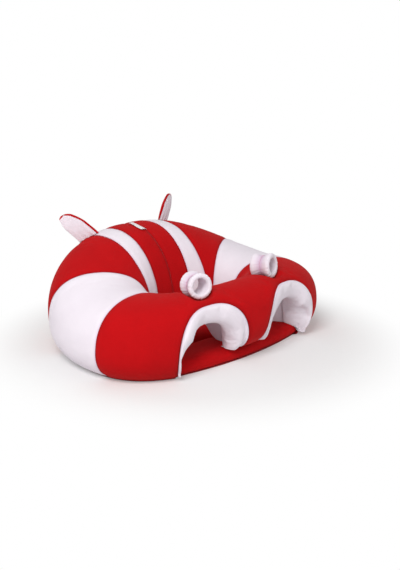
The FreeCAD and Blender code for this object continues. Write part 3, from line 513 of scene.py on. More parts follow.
class Signal:
    """Output of a node; arithmetic on it adds Math nodes."""

    def __init__(self, tree, socket):
        self.tree, self.socket = tree, socket

    def combine(self, operation, other=0.0):
        return self.tree.node("ShaderNodeMath", {"operation": operation}, {0: self, 1: other})

    def __add__(self, other):
        return self.combine("ADD", other)

    def __mul__(self, other):
        return self.combine("MULTIPLY", other)

    __radd__, __rmul__ = __add__, __mul__

    def sine(self):
        return self.combine("SINE")

    def least(self, other):
        return self.combine("MINIMUM", other)

    def most(self, other):
        return self.combine("MAXIMUM", other)


class Tree:
    """Node tree that is filled node by node."""

    def __init__(self, tree):
        self.tree = tree
        tree.nodes.clear()

    def node(self, kind, settings=None, sockets=None, output=0):
        """Add a node: settings first, then the values or links of its sockets."""
        item = self.tree.nodes.new(kind)
        for key, value in (settings or {}).items():
            setattr(item, key, value)
        for key, value in (sockets or {}).items():
            if isinstance(value, Signal):
                self.tree.links.new(value.socket, item.inputs[key])
            else:
                item.inputs[key].default_value = value
        return Signal(self, item.outputs[output]) if len(item.outputs) else None

    def seen(self):
        """1 for rays that show a surface straight to the eye or in a gloss."""
        words = ("Is Camera Ray", "Is Glossy Ray")
        eye, gloss = (self.node("ShaderNodeLightPath", output=word) for word in words)
        return eye.most(gloss)


class Finish(Tree):
    """Node tree of one material."""

    def __init__(self, name):
        self.material = bpy.data.materials.new(name)
        self.material.use_nodes = True
        super().__init__(self.material.node_tree)

    def place(self):
        return self.node("ShaderNodeTexCoord", output="Object")

    def clouds(self, scale, detail=2.0, stretch=None):
        """Soft noise from 0 to 1 over the object."""
        where = self.place()
        if stretch:
            where = self.node("ShaderNodeMapping", {}, {"Vector": where, "Scale": stretch})
        sockets = {"Vector": where, "Scale": scale, "Detail": detail, "Roughness": 0.5}
        return self.node("ShaderNodeTexNoise", {}, sockets, "Fac")

    def tint(self, factor, first, second):
        """Colour between two colours."""
        sockets = {0: factor, 6: first, 7: second}
        return self.node("ShaderNodeMix", {"data_type": "RGBA"}, sockets, 2)

    def surface(self, colour, roughness, height, distance, strength=1.0, **fixed):
        """Finish the material with a principled surface."""
        bump = {"Height": height, "Distance": distance, "Strength": strength}
        normal = self.node("ShaderNodeBump", {}, bump)
        sockets = {"Base Color": colour, "Roughness": roughness, "Normal": normal}
        sockets.update({key.replace("_", " "): value for key, value in fixed.items()})
        shader = self.node("ShaderNodeBsdfPrincipled", {}, sockets)
        self.node("ShaderNodeOutputMaterial", {}, {"Surface": shader})
        return self.material


def linear(red, green, blue):
    """Scene colour of a screen colour given from 0 to 255."""
    values = [value / 255 for value in (red, green, blue)]
    steps = [v / 12.92 if v <= 0.04045 else ((v + 0.055) / 1.055) ** 2.4 for v in values]
    return (*steps, 1.0)


# plush: scale and detail of its patches, brushed areas, pile, tufts and creases;
# what share the first three have in the colour, and how high the last three rise
PLUSH_NOISE = ((26.0, 3.0), (9.0,), (1500.0, 1.0), (520.0,), (75.0, 4.0))
PATCH_SHARE, BRUSHED_SHARE, PILE_SHARE = 0.45, 0.25, 0.3
PILE_RISE, TUFT_RISE, CREASE_RISE = 0.35, 0.4, 0.9
PLUSH_BUMP, PLUSH_ROUGHNESS, SEAM_SHADE = (0.0011, 0.55), (0.82, 0.14), 0.5


def plush(name, colour, shade, painted_seam_shade, sheen, sheen_tint):
    """Short-pile plush: brushed patches, fine pile and painted shade along its seams and grooves.
    """
    finish = Finish(name)
    patches, brushed, pile, tufts, creases = (finish.clouds(*scale) for scale in PLUSH_NOISE)
    seam = finish.node("ShaderNodeAttribute", {"attribute_name": "seam"}, output="Fac")
    depth = (patches * PATCH_SHARE + brushed * BRUSHED_SHARE + pile * PILE_SHARE).least(1.0)
    base = finish.tint(depth, linear(*shade), linear(*colour))
    # painted shade: the colour goes towards the darker seam colour where the seam attribute marks
    # seams and grooves
    base = finish.tint((seam * SEAM_SHADE).least(1.0), base, linear(*painted_seam_shade))
    height = pile * PILE_RISE + tufts * TUFT_RISE + creases * CREASE_RISE
    fixed = {"Sheen_Weight": sheen, "Sheen_Tint": sheen_tint, "Sheen_Roughness": 0.45}
    smallest, spread = PLUSH_ROUGHNESS
    roughness = smallest + pile * spread
    return finish.surface(base, roughness, height, *PLUSH_BUMP, Specular_IOR_Level=0.12, **fixed)


def woven(name, colour, shade, pitch):
    """Plain weave of crossing threads."""
    finish = Finish(name)
    where = finish.place()
    across, along, up = (finish.node("ShaderNodeSeparateXYZ", {}, {0: where}, w) for w in "XYZ")
    turn = 2 * math.pi / pitch
    threads = ((across + up * 0.35) * turn).sine() * ((along + up) * turn).sine() * 0.5 + 0.5
    mottle = threads * 0.7 + finish.clouds(40.0, 3.0) * 0.3
    base = finish.tint(mottle, linear(*shade), linear(*colour))
    return finish.surface(base, 0.8 + threads * 0.12, threads, 0.0004, 0.8)


def grained(name, colour, shade, grain, blotch, roughness, distance, strength, **fixed):
    """Two near colours in blotches or along the grain, and a fine grain in the surface."""
    finish = Finish(name)
    marks = finish.clouds(*grain)
    blotches = finish.clouds(*blotch) if blotch else marks
    base = finish.tint(blotches, linear(*shade), linear(*colour))
    smallest, spread = roughness
    return finish.surface(base, smallest + marks * spread, marks, distance, strength, **fixed)


def thread(name, colour, shade):
    """Twisted sewing thread."""
    roughness = (0.7, 0.2)
    return grained(name, colour, shade, (2600.0,), None, roughness, 0.0002, 0.6, Sheen_Weight=0.3)


FINISHES = {
    # the third colour of each plush is its painted shade for seams and grooves
    "red_plush": plush(
        "red_plush_pile", (196, 9, 15), (160, 4, 10), (116, 2, 8), 0.05, (1.0, 0.35, 0.3, 1.0)
    ),
    "white_plush": plush(
        "white_plush_pile", (237, 230, 237), (222, 213, 222), (204, 172, 200),
        0.15, (1.0, 0.97, 1.0, 1.0),
    ),
    "bottom_cloth": woven("red_base_weave", (168, 22, 30), (138, 12, 22), 0.0011),
    "white_tape": woven("bare_ribbon_weave", (252, 250, 251), (238, 235, 237), 0.0006),
    "zip_tape": woven("zip_tape_weave", (172, 18, 28), (140, 10, 20), 0.0007),
    "thread": thread("gathering_thread", (226, 190, 206), (196, 152, 176)),
    # moulded nylon with a satin skin, plated die casting with rubbing marks
    "zip_plastic": grained(
        "zip_coil_nylon", (170, 20, 30), (140, 12, 22), (1400.0,), (180.0,),
        (0.42, 0.14), 0.00006, 0.5,
    ),
    "zip_metal": grained(
        "zip_plated_metal", (214, 214, 216), (176, 177, 180), (900.0, 3.0, (1.0, 1.0, 6.0)),
        (120.0, 3.0), (0.28, 0.22), 0.00008, 0.5, Metallic=1.0,
    ),
}
RED_THREAD = thread("red_sewing_thread", (178, 22, 32), (140, 12, 22))


def dress(piece, body, slot, nodes=(), fill=None, material=None):
    """Give a finished piece the material of its slot, hide the nodes it stands for and put it under
    its body.
    """
    piece.data.materials.clear()
    piece.data.materials.append(material or FINISHES[slot])
    if nodes:
        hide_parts(*nodes)
    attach(piece, body)
    return piece


def sew(piece, thickness, *dressing):
    """Smooth a cloth, give it its thickness and dress it."""
    subdivide(piece)
    thicken(piece, thickness)
    dress(piece, *dressing)


# Wall panels

ROWS, FRONT_COLUMNS = 92, 172
RIPPLE, RIPPLE_REACH, LABEL_RELIEF = 0.0006, 0.02, 0.8
FOOT_HOLD, FOOT_HOLD_HEIGHT, CUFF_HOLD, CUFF_HOLD_FADE = 0.6, 0.02, 0.03, 0.01

# where the pad hides the front cover; arch field along the arches' edges, and its length
UNSEEN_HEIGHT, UNSEEN_DEPTH, UNSEEN_HALF_WIDTH = 0.03, 0.125, 0.16
EDGE_LOW, EDGE_HIGH, FIELD_LENGTH = 0.8, 1.12, 0.08


def seam_reach(points, seams):
    """Distance of grid points from the nearest of the seams that run over the wall."""
    on_seams = [wall_grid(seam, seam, 1, ROWS)[2][:1] for seam in seams]
    return np.min([np.linalg.norm(points - line, axis=-1) for line in on_seams], axis=0)


def low_hold(points):
    """How firmly the foot of the wall is held."""
    return FOOT_HOLD * fade(points[..., 2], 0, FOOT_HOLD_HEIGHT)


def wall_panel(name, first, last, columns, side):
    """One cover panel between two seams, open along its foot."""
    turns, angles, points = wall_grid(first, last, columns, ROWS)
    reach = seam_reach(points, (first, last))
    flip = FLIPS[side]
    ripple = cloud(points * flip, 42.0, 3.0) * RIPPLE * np.exp(-reach / RIPPLE_REACH)
    dip = seam_dip(reach) * (1 - LABEL_RELIEF * by_label(points)) + ripple
    points = draw_in(points, turns, angles, dip) * flip
    faces = grid_faces(columns + 1, ROWS + 1)
    piece = make_piece(name, points.reshape(-1, 3), faces, side == "left")
    # painted shade along the panel's seams
    mark_seam_shade(piece, bell(reach, SEAM_SHADE_WIDTH))
    held = np.zeros(points.shape[:-1])
    held[[0, -1], :] = held[:, [0, -1]] = 1.0
    held = np.maximum(held, low_hold(points))
    held = np.maximum(held, np.minimum(over_zip(points)[0] * 3, 1.0))
    swell_later(piece, held, WALL_CAP, WALL_GROWTH)
    return piece


def front_panel():
    """Front cover with its two leg arches cut out."""
    shape = (FRONT_COLUMNS + 1, ROWS + 1)
    turns, angles, points = wall_grid(-FRONT_SEAM, FRONT_SEAM, FRONT_COLUMNS, ROWS)
    keep = []
    for face in grid_faces(*shape):
        centre = points.reshape(-1, 3)[np.array(face)].mean(axis=0)
        low_behind = centre[2] < UNSEEN_HEIGHT and centre[1] > -UNSEEN_DEPTH
        hidden = low_behind and abs(centre[0]) < UNSEEN_HALF_WIDTH
        if arch_field(centre[None, :])[0] > 1.0 and not hidden:
            keep.append(face)
    shared = {}
    for face in keep:
        for k in range(4):
            edge = frozenset((face[k], face[(k + 1) % 4]))
            shared[edge] = shared.get(edge, 0) + 1
    rim = {v for edge, count in shared.items() if count == 1 for v in edge}
    field = arch_field(points).ravel()
    at_arch = np.array([v for v in sorted(rim) if EDGE_LOW < field[v] < EDGE_HIGH])
    turns, angles = turns.ravel().copy(), angles.ravel().copy()
    turns[at_arch], angles[at_arch] = snap_to_arch(turns[at_arch], angles[at_arch])
    points = wall_points(turns, angles)
    reach = seam_reach(points.reshape(*shape, 3), (-FRONT_SEAM, FRONT_SEAM)).ravel()
    nearest = np.minimum(reach, np.maximum(arch_field(points) - 1.0, 0.0) * FIELD_LENGTH)
    points = press_under_cuffs(draw_in(points, turns, angles, seam_dip(nearest)))
    points, faces, used = used_only(points, keep)
    piece = make_piece("front_cover", points, faces, True)
    # painted shade along the seams and the arch edges
    mark_seam_shade(piece, bell(nearest[used], SEAM_SHADE_WIDTH))
    held = np.maximum(np.array([1.0 if v in rim else 0.0 for v in used]), low_hold(points))
    for side in SIDES:
        place, _, _, axis = cuff_frame(side)
        along, radial = split(points - place, axis)
        near_axis = fade(np.linalg.norm(radial, axis=1), CUFF_HOLD, CUFF_HOLD_FADE)
        held = np.maximum(held, near_axis * fade(np.abs(along), CUFF_HOLD, CUFF_HOLD_FADE))
    swell_later(piece, held, WALL_CAP, WALL_GROWTH)
    return piece


WALL_PANELS = [
    ("back_cover", "inner", BACK_SEAM, 16, "red_plush", "back_panel"),
    ("back_stripe_cover", "outer", "inner", 12, "white_plush", "back_stripe"),
    ("shoulder_cover", ARM_SEAM, "outer", 34, "red_plush", "shoulder_panel"),
    ("arm_cover", FRONT_SEAM, ARM_SEAM, 34, "white_plush", "arm_band"),
]
FILLINGS = {
    "back_cover_right": ["back_filling"],
    "shoulder_cover_left": ["shoulder_filling_left"],
    "shoulder_cover_right": ["shoulder_filling_right"],
    "arm_cover_left": ["arm_filling_left"],
    "arm_cover_right": ["arm_filling_right"],
}
panels = []
for word, first, last, columns, slot, node in WALL_PANELS:
    for side in SIDES:
        name = f"{word}_{side}"
        nodes = [f"{node}_{side}"] + FILLINGS.get(name, [])
        panels.append((wall_panel(name, first, last, columns, side), slot, nodes))
nodes = ["front_panel", "post_filling", "front_corner_filling_left", "front_corner_filling_right"]
panels.append((front_panel(), "red_plush", nodes))


# Leg arch lips and tunnel linings


def face_depth(x, z):
    """How far in front of the middle the wall's outer face lies at x and z."""

    def face(turn):
        return wall_points(turn, angle_at(turn, z))

    ends = np.zeros_like(x), np.full_like(x, math.pi / 2)
    return -face(bisect(*ends, lambda turn: face(turn)[..., 0] < x))[..., 1]


def arch_outline(depth, rise, inset, sizes=None, fullness=ARCH_FULLNESS):
    """Points of an arch outline in the planes y = -depth."""
    centre, half_width, top = sizes or arch_values(depth)
    x = centre + (half_width - inset) * spow(np.cos(rise), 2 / fullness)
    z = (top - inset) * np.maximum(np.sin(rise), 0.0) ** (2 / fullness)
    return np.stack([x, -depth * np.ones_like(x), z], axis=-1)


def lip_width(height):
    """Share of the lip's full width near its outer foot, by the height of its seam."""
    return np.interp(height, (0.0, 0.015, 0.048, 0.072, 0.098), (0.55, 0.5, 0.32, 0.55, 1.0))


# shares of the two neighbours in the points between them, and how far these bulge or turn in
LIP_OUTER, LIP_INNER, LIP_BELLY = (0.72, 0.28), (0.7, 0.3), (0.55, 0.45)
LIP_OUTER_BULGE, LIP_INNER_BULGE, LIP_INNER_TURN = 0.78, 0.6, 0.25
LIP_OUTSET, LIP_REAR_GAP, LIP_BACK_GAP, LIP_FULL_DEPTH = 0.0006, 0.004, 0.0005, 0.04


def blend(first, second, shares):
    """Points between two lines of points, by the share of each."""
    return first * shares[0] + second * shares[1]


def lip_controls(rise):
    """Control points round one section of the padded lip, for every rise."""
    depth = np.full_like(rise, ARCH_FRONT[0])
    for _ in range(4):
        seam = arch_outline(depth, rise, LIP_GAP)
        depth = face_depth(seam[:, 0], np.maximum(seam[:, 2], 0.016))
    by_post = smooth(2.6 * (rise / math.pi - 0.5))
    turn_in = mix(LIP_TURN_IN, LIP_INNER_TURN_IN, by_post)
    width = np.where(rise < math.pi / 2, lip_width(seam[:, 2]), 1.0)
    turned = mix(depth, LIP_REAR, turn_in * width)
    bulge = width * LIP_BULGE * np.minimum((depth - LIP_REAR) / LIP_FULL_DEPTH, 1.0)
    bulge = bulge - LIP_POST_DRAW * by_post
    seam = arch_outline(depth + LIP_OUTSET, rise, 0.0)
    clear = arch_outline(turned, rise, 0.0, LIP_CLEAR, LIP_FULLNESS)
    clear[:, ::2] += (seam - clear)[:, ::2] * (1 - width)[:, None]
    front = (seam + clear) / 2
    front[:, 1] = -(depth + bulge)
    outer = blend(seam, front, LIP_OUTER)
    outer[:, 1] = -(depth + bulge * LIP_OUTER_BULGE)
    inner = blend(clear, front, LIP_INNER)
    inner[:, 1] = -(mix(depth, turned, LIP_INNER_TURN) + bulge * LIP_INNER_BULGE)
    rear = arch_outline(np.full_like(rise, LIP_REAR), rise, LIP_GAP + LIP_REAR_GAP)
    belly = blend(clear, rear, LIP_BELLY)
    belly[:, 1] = -mix(turned, LIP_REAR, turn_in)
    back = arch_outline(np.full_like(rise, LIP_REAR), rise, LIP_GAP + LIP_BACK_GAP)
    return [seam, outer, front, inner, clear, belly, rear, back]


def resample(controls, count):
    """Even points along smooth curves through control points, one curve for each row."""
    rows = []
    for row in np.stack(controls, axis=1):
        step = np.linalg.norm(np.diff(row, axis=0), axis=-1) ** 0.5
        at = np.concatenate([[0], np.cumsum(np.maximum(step, 1e-6))])
        slopes = np.gradient(row, at, axis=0)
        dense = np.linspace(0, at[-1], 400)
        k = np.clip(np.searchsorted(at, dense, "right") - 1, 0, len(step) - 1)
        h = (at[k + 1] - at[k])[:, None]
        t = ((dense - at[k])[:, None]) / h
        curve = (
            (2 * t**3 - 3 * t**2 + 1) * row[k]
            + (t**3 - 2 * t**2 + t) * h * slopes[k]
            + (3 * t**2 - 2 * t**3) * row[k + 1]
            + (t**3 - t**2) * h * slopes[k + 1]
        )
        run = run_along(curve)
        want = np.linspace(0, run[-1], count + 1)
        rows.append(np.stack([np.interp(want, run, curve[:, i]) for i in range(3)], axis=-1))
    return np.array(rows)


LIP_ROUND, LIP_LENGTH, LIP_END, LIP_GIRTH, LIP_SEAM_SHADE_WIDTH = 34, 130, 0.012, 0.11, 0.004
LIP_FOLD, LIP_FOLD_PLACE, LIP_FOLD_SPREAD = 0.0014, 0.56, 0.17


def lip(side):
    """Puffy white roll sewn round one leg arch."""
    bend = np.linspace(LIP_END, math.pi - LIP_END, LIP_LENGTH + 1)
    grid = resample(lip_controls(bend), LIP_ROUND)
    middle = grid.mean(axis=1, keepdims=True)
    share = np.linspace(0, 1, LIP_ROUND + 1)[None, :]
    gathers = cloud(np.stack([bend * 9, bend * 0, bend * 0], -1), 1.0, 7.0)[:, None]
    folds = np.sin(bend * 58 + gathers[:, 0] * 6)[:, None] * (0.55 + 0.45 * gathers)
    inward = bell(share - LIP_FOLD_PLACE, LIP_FOLD_SPREAD)
    grid = grid + unit(grid - middle) * (folds * inward * LIP_FOLD)[..., None]
    on_pad = np.abs(grid[..., 0]) < PAD_HALF_WIDTH - 0.002
    floor = np.where(on_pad, PAD_TOP + 0.0006, BOTTOM_CLOTH + 0.0004)
    grid[..., 2] = np.maximum(grid[..., 2], floor)
    piece = tube(f"leg_arch_lip_{side}", grid * FLIPS[side])
    # painted shade along the lip's seam line
    mark_seam_shade(piece, bell(share * LIP_GIRTH, LIP_SEAM_SHADE_WIDTH) * np.ones((LIP_LENGTH + 1, 1)))
    held = np.zeros(grid.shape[:-1])
    held[:, [0, 1, -3, -2, -1]] = held[[0, 1, -2, -1], :] = 1.0
    held = np.maximum(held, fade(grid[..., 2], floor, ROLL_HOLD))
    swell_later(piece, held, LIP_CAP, ROLL_GROWTH)
    return piece


def in_wall(points):
    """Whether points lie within the wall's section there."""
    turns = np.linspace(0, math.pi / 2, 361)
    outer, inner = plan_points(turns, OUTER_PLAN), plan_points(turns, WELL_PLAN)
    across = unit(outer - inner)
    offset = points[..., None, :] - (outer + inner) / 2
    offset[..., 2] = 0
    along = (offset * across).sum(axis=-1)
    aside = np.linalg.norm(offset - across * along[..., None], axis=-1)
    best = np.argmin(aside, axis=-1)
    _, _, half_width, half_height, level, lean, _ = wall_frame(turns[best])
    rise = (points[..., 2] - level) / half_height
    reach = np.take_along_axis(along, best[..., None], axis=-1)[..., 0]
    reach = (reach - lean * rise) / half_width
    return np.abs(reach) ** WALL_FULLNESS + np.abs(rise) ** WALL_FULLNESS < 1.0


TUNNEL_ROWS, TUNNEL_COLUMNS, TUNNEL_INSET, TUNNEL_FOOT = 16, 60, 0.0005, PAD_TOP - 0.004
TUNNEL_SLACK, TUNNEL_RIPPLE, TUNNEL_TAUT = 0.0013, 0.0012, 0.3
TUNNEL_FRONT, TUNNEL_REAR, TUNNEL_AXIS = LIP_REAR + 0.002, 0.02, (0.08, 0.05)


def tunnel(side):
    """Cloth lining of one arch between its lip and the well, ending on the well's face."""
    across = np.linspace(0.0, 1.0, TUNNEL_COLUMNS + 1)

    def lining(depth):
        foot = np.arcsin((TUNNEL_FOOT / arch_values(depth)[2]) ** (ARCH_FULLNESS / 2))
        return arch_outline(depth, mix(foot, math.pi - foot, across), TUNNEL_INSET)

    trial = np.linspace(TUNNEL_FRONT, TUNNEL_REAR, 200)[:, None]
    inside = in_wall(lining(trial * np.ones_like(across)))
    leaves = np.where(inside.all(axis=0), len(trial) - 1, np.argmin(inside, axis=0))
    ends = trial[np.maximum(leaves - 1, 0), 0] - 0.0004
    shares = np.linspace(0, 1, TUNNEL_ROWS + 1)[:, None]
    grid = lining(mix(TUNNEL_FRONT, ends, shares))
    slack = cloud(grid, 30.0, 5.0) * TUNNEL_RIPPLE + TUNNEL_SLACK
    slack = slack * smooth(shares / TUNNEL_TAUT)
    centre = grid.copy()
    centre[..., ::2] = TUNNEL_AXIS
    grid = grid + unit(centre - grid) * slack[..., None]
    run = leaves > 2
    faces = []
    for i in range(TUNNEL_ROWS):
        for j in np.flatnonzero(run[:-1] & run[1:]):
            a = i * (TUNNEL_COLUMNS + 1) + j
            b = a + TUNNEL_COLUMNS + 1
            faces.append((a, b, b + 1, a + 1)[:: -SIDES[side]])
    points, faces, used = used_only(grid.reshape(-1, 3) * FLIPS[side], faces)
    piece = make_piece(f"leg_arch_tunnel_{side}", points, faces)
    mark_seam_shade(piece, np.zeros(len(used)))
    return piece


lips = {side: lip(side) for side in SIDES}
tunnels = {side: tunnel(side) for side in SIDES}

# Seat cushion and leg pad


def well_edge(height, inset):
    """Outline just inside the wall's inner face at a height."""
    turns = np.linspace(-math.pi, math.pi, 97)[:-1]
    _, _, _, _, level, _, foot = wall_frame(turns)
    face = wall_points(turns, math.pi - angle_at(turns, np.clip(height, foot, level)))
    face[:, 2] = 0
    ahead, behind = np.roll(face, -1, axis=0), np.roll(face, 1, axis=0)
    along = unit(ahead - behind)
    inward = np.stack([-along[:, 1], along[:, 0], 0 * along[:, 0]], -1)
    return face + inward * inset


def crowned_pad(name, levels, outline, cap):
    """Closed pad through outlines, capped above and below, ready to swell."""
    rings = []
    for height, draw, shrink in levels:
        ring = outline(height, draw)
        middle = ring.mean(axis=0)
        ring = middle + (ring - middle) * (1 - shrink)
        ring[:, 2] = height
        rings.append(ring)
    count = len(rings[0])
    points = np.concatenate(rings + [rings[0].mean(axis=0)[None], rings[-1].mean(axis=0)[None]])
    faces = grid_faces(len(rings), count, closed_columns=True)
    low, high = len(points) - 2, len(points) - 1
    top = (len(rings) - 1) * count
    faces += [((j + 1) % count, j, low) for j in range(count)]
    faces += [(top + j, top + (j + 1) % count, high) for j in range(count)]
    piece = make_solid(name, points, faces)
    modify(piece, "REMESH", mode="VOXEL", voxel_size=PAD_MESH)
    held = fade(coordinates(piece)[:, 2], BOTTOM_CLOTH, ROLL_HOLD)
    swell_later(piece, held, cap, ROLL_GROWTH)
    return piece


CUSHION_GAP, CUSHION_FRONT_GAP, WELL_FRONT = 0.0042, 0.004, 0.0417


def cushion_outline(height, draw):
    """Well outline with its front straightened against the leg pad."""
    ring = well_edge(height, CUSHION_GAP + draw)
    ring[:, 1] = np.maximum(ring[:, 1], -WELL_FRONT + CUSHION_FRONT_GAP + draw)
    return ring


PAD_SIDE_DEPTH, PAD_FRONT_DEPTH, PAD_REAR_DEPTH, PAD_REAR_HALF_WIDTH = 0.118, 0.138, 0.042, 0.126
PAD_OVERHANG, PAD_COVER = 0.013, 0.003


def pad_outline(height, draw):
    """Rounded front, straight sides and rear edge of the leg pad."""
    draw = draw + PAD_COVER
    side, middle, rear = PAD_SIDE_DEPTH - draw, PAD_FRONT_DEPTH - draw, PAD_REAR_DEPTH + draw
    wide, narrow = PAD_HALF_WIDTH + PAD_OVERHANG - draw, PAD_REAR_HALF_WIDTH - draw
    arc = np.linspace(-1, 1, 49)
    front = np.stack([wide * arc, -(side + (middle - side) * (1 - arc**2)), 0 * arc], -1)
    corners = [(wide, -side), (narrow, -rear), (-narrow, -rear), (-wide, -side)]
    corners = np.array([(x, y, 0) for x, y in corners])
    flank = np.linspace(0, 1, 13)[1:, None]
    edges = [a * (1 - flank) + b * flank for a, b in zip(corners, corners[1:])]
    return np.concatenate([front, *edges])[:-1]


# height, how far the outline is drawn in, how far it shrinks to its middle
CUSHION_LEVELS = [
    (0.0018, 0.004, 0.0), (0.005, 0.0006, 0.0), (0.012, 0.0, 0.0), (0.018, 0.0, 0.0),
    (0.0205, 0.002, 0.0), (0.0235, 0.0, 0.1), (0.0258, 0.0, 0.3), (0.0268, 0.0, 0.6),
]
PAD_LEVELS = [
    (0.0018, 0.0075, 0.0), (0.0035, 0.0035, 0.0), (0.0075, 0.0004, 0.0), (0.012, 0.0, 0.0),
    (0.0165, 0.0015, 0.0), (0.0205, 0.005, 0.0), (0.0236, 0.011, 0.0), (0.0250, 0.02, 0.0),
    (0.0256, 0.034, 0.0),
]
cushion = crowned_pad("seat_cushion", CUSHION_LEVELS, cushion_outline, CUSHION_CAP)
leg_pad = crowned_pad("leg_pad", PAD_LEVELS, pad_outline, PAD_CAP)

# Rail cuffs; the sleeve's rows hold radius, distance from its end and gather

CUFF_ROUND, CUFF_FINE_ROWS, CUFF_SEEDS = 96, 45, {"left": 1.3, "right": 2.1}
CUFF_ROWS = [
    (0.0149, 0.0042, 0.1), (0.0153, 0.0018, 0.4), (0.0166, 0.0005, 0.6), (0.0186, 0.0001, 0.8),
    (0.0208, 0.0005, 0.9), (0.0229, 0.0018, 0.9), (0.0239, 0.0040, 0.8), (0.0236, 0.0068, 0.6),
    (0.0226, 0.0096, 0.5), (0.0212, 0.0124, 0.6), (0.0198, 0.0152, 0.8), (0.0187, 0.0180, 1.0),
]
CUFF_FOLDS, CUFF_FOLD, CUFF_PINCH = ((29, 0.7), (21, 0.6), (13, 0.5)), 0.00032, 0.0006
CUFF_WAIST, CUFF_WAIST_SHADE = 0.0075, 1.4
BORE_RADIUS, BORE_HALF_LENGTH, BORE_ROUND, BORE_ROWS = 0.01442, 0.0186, 72, 13
BORE_FLARE, BORE_FLARE_START, BORE_FLARE_LENGTH, BORE_FOLD = 0.0006, 0.013, 0.0056, 0.00026
THREAD_RADIUS, PLY_RADIUS, PLY_SPREAD, PLY_TWISTS = 0.0190, 0.0004, 0.00036, 46


def cuff_ring(side, around, radius, height):
    """Points round a cuff's axis, at a radius from it and a height along it."""
    place, across, up, axis = cuff_frame(side)
    aside = across * (radius * np.cos(around))[:, None] + up * (radius * np.sin(around))[:, None]
    return place + aside + axis * np.reshape(height, (-1, 1))


def cuff_cloth(name, side, rings, seams):
    """Cloth through rings of points round a cuff's axis, with its painted shade mask."""
    faces = grid_faces(len(rings), len(rings[0]), closed_columns=True)
    piece = make_piece(f"{name}_{side}", np.concatenate(rings), faces, side == "left")
    mark_seam_shade(piece, seams)
    return piece


def cuff(side):
    """White padded sleeve with two puffy rims and a gathered waist."""
    half, seed = CUFF_LENGTH / 2 * CUFF_DRAWN_SHARE, CUFF_SEEDS[side]
    end = [(radius, half - below, gather) for radius, below, gather in CUFF_ROWS]
    mirrored = [(radius, -height, gather) for radius, height, gather in end[::-1]]
    profile = np.array(end + [(0.0182, 0.0, 1.0)] + mirrored)
    run = run_along(profile[:, :2])
    want = np.linspace(0, run[-1], CUFF_FINE_ROWS)
    around = round_turn(CUFF_ROUND)
    rows, waist_shade = [], []
    for radius, height, gather in zip(*(np.interp(want, run, column) for column in profile.T)):
        folds = sum(
            share * np.sin(around * count + (seed + height * 12) * count)
            for count, share in CUFF_FOLDS
        )
        fold = folds * (CUFF_FOLD * gather)
        pinch = -CUFF_PINCH * gather * np.maximum(np.sin(around * 21 + seed * 3.1), 0) ** 3
        rows.append(cuff_ring(side, around, radius + fold + pinch, height + fold * 0.6))
        # painted shade in the gathered waist's groove
        waist_shade += [CUFF_WAIST_SHADE * bell(height, CUFF_WAIST)] * CUFF_ROUND
    return cuff_cloth("rail_cuff", side, rows, waist_shade)


def cuff_lining(side):
    """Cloth lining of a cuff's bore, with soft lengthways folds."""
    around = round_turn(BORE_ROUND)
    rows = []
    for height in np.linspace(-BORE_HALF_LENGTH, BORE_HALF_LENGTH, BORE_ROWS):
        flare = BORE_FLARE * smooth((abs(height) - BORE_FLARE_START) / BORE_FLARE_LENGTH)
        folds = BORE_FOLD * np.sin(around * 13 + height * 60) + 0.0001 * np.sin(around * 29)
        rows.append(cuff_ring(side, around, BORE_RADIUS + flare + folds, height))
    return cuff_cloth("cuff_lining", side, rows, np.zeros(BORE_ROWS * BORE_ROUND))


def cuff_thread(side):
    """Two twisted plies round a cuff's waist."""
    turns, ring = round_turn(240), round_turn(8)
    _, across, up, axis = cuff_frame(side)
    outs = across * np.cos(turns)[:, None] + up * np.sin(turns)[:, None]
    spokes = outs[:, None] * np.cos(ring)[None, :, None] + axis * np.sin(ring)[None, :, None]
    points, faces = [], []
    for ply in (0, math.pi):
        twist = turns * PLY_TWISTS + ply
        radius = THREAD_RADIUS + 0.00025 * np.sin(turns * 17 + 0.4) + PLY_SPREAD * np.cos(twist)
        middle = cuff_ring(side, turns, radius, PLY_SPREAD * np.sin(twist))
        start = len(turns) * len(ring) * len(points)
        points.append((middle[:, None] + spokes * PLY_RADIUS).reshape(-1, 3))
        loop = grid_faces(len(turns), len(ring), closed_rows=True, closed_columns=True)
        faces += [tuple(start + v for v in face) for face in loop]
    return make_solid(f"cuff_thread_{side}", np.concatenate(points), faces)


# Ears

EAR_TURN, EAR_ANGLE = math.radians(160.9), math.radians(69)
EAR_SLANT, EAR_TILT = math.radians(40), math.radians(4)
EAR_LENGTH, EAR_LEAN, EAR_ROOT_GAP = 0.061, 0.029, 0.0012
EAR_ROOT_WIDTH, EAR_WIDTH, EAR_TIP_WIDTH = 0.0215, 0.021, 0.0105
EAR_ROOT_THICKNESS, EAR_THICKNESS, EAR_TIP_THICKNESS = 0.0028, 0.0085, 0.003
EAR_RIM_ANGLE, EAR_TIP_RIM_ANGLE, EAR_CLOSING = math.radians(43), math.radians(56), 0.87
EAR_ROWS, EAR_COLUMNS, EAR_FULLNESS, EAR_TIP_ROUND, EAR_EDGE_SHADE_START = 40, 32, 2.4, 0.1, 0.94
EAR_PLEAT, EAR_PLEAT_FADE, EAR_FALL_FADE, EAR_EDGE_SHADE_FADE = 0.0011, 0.16, 0.07, 0.06
EAR_SWELL, EAR_WIDENING, EAR_TAPER, EAR_FLATNESS = 0.8, 2.2, 1.6, 0.95
EAR_RIM_START, EAR_RIM_GROWTH = 0.55, 0.35


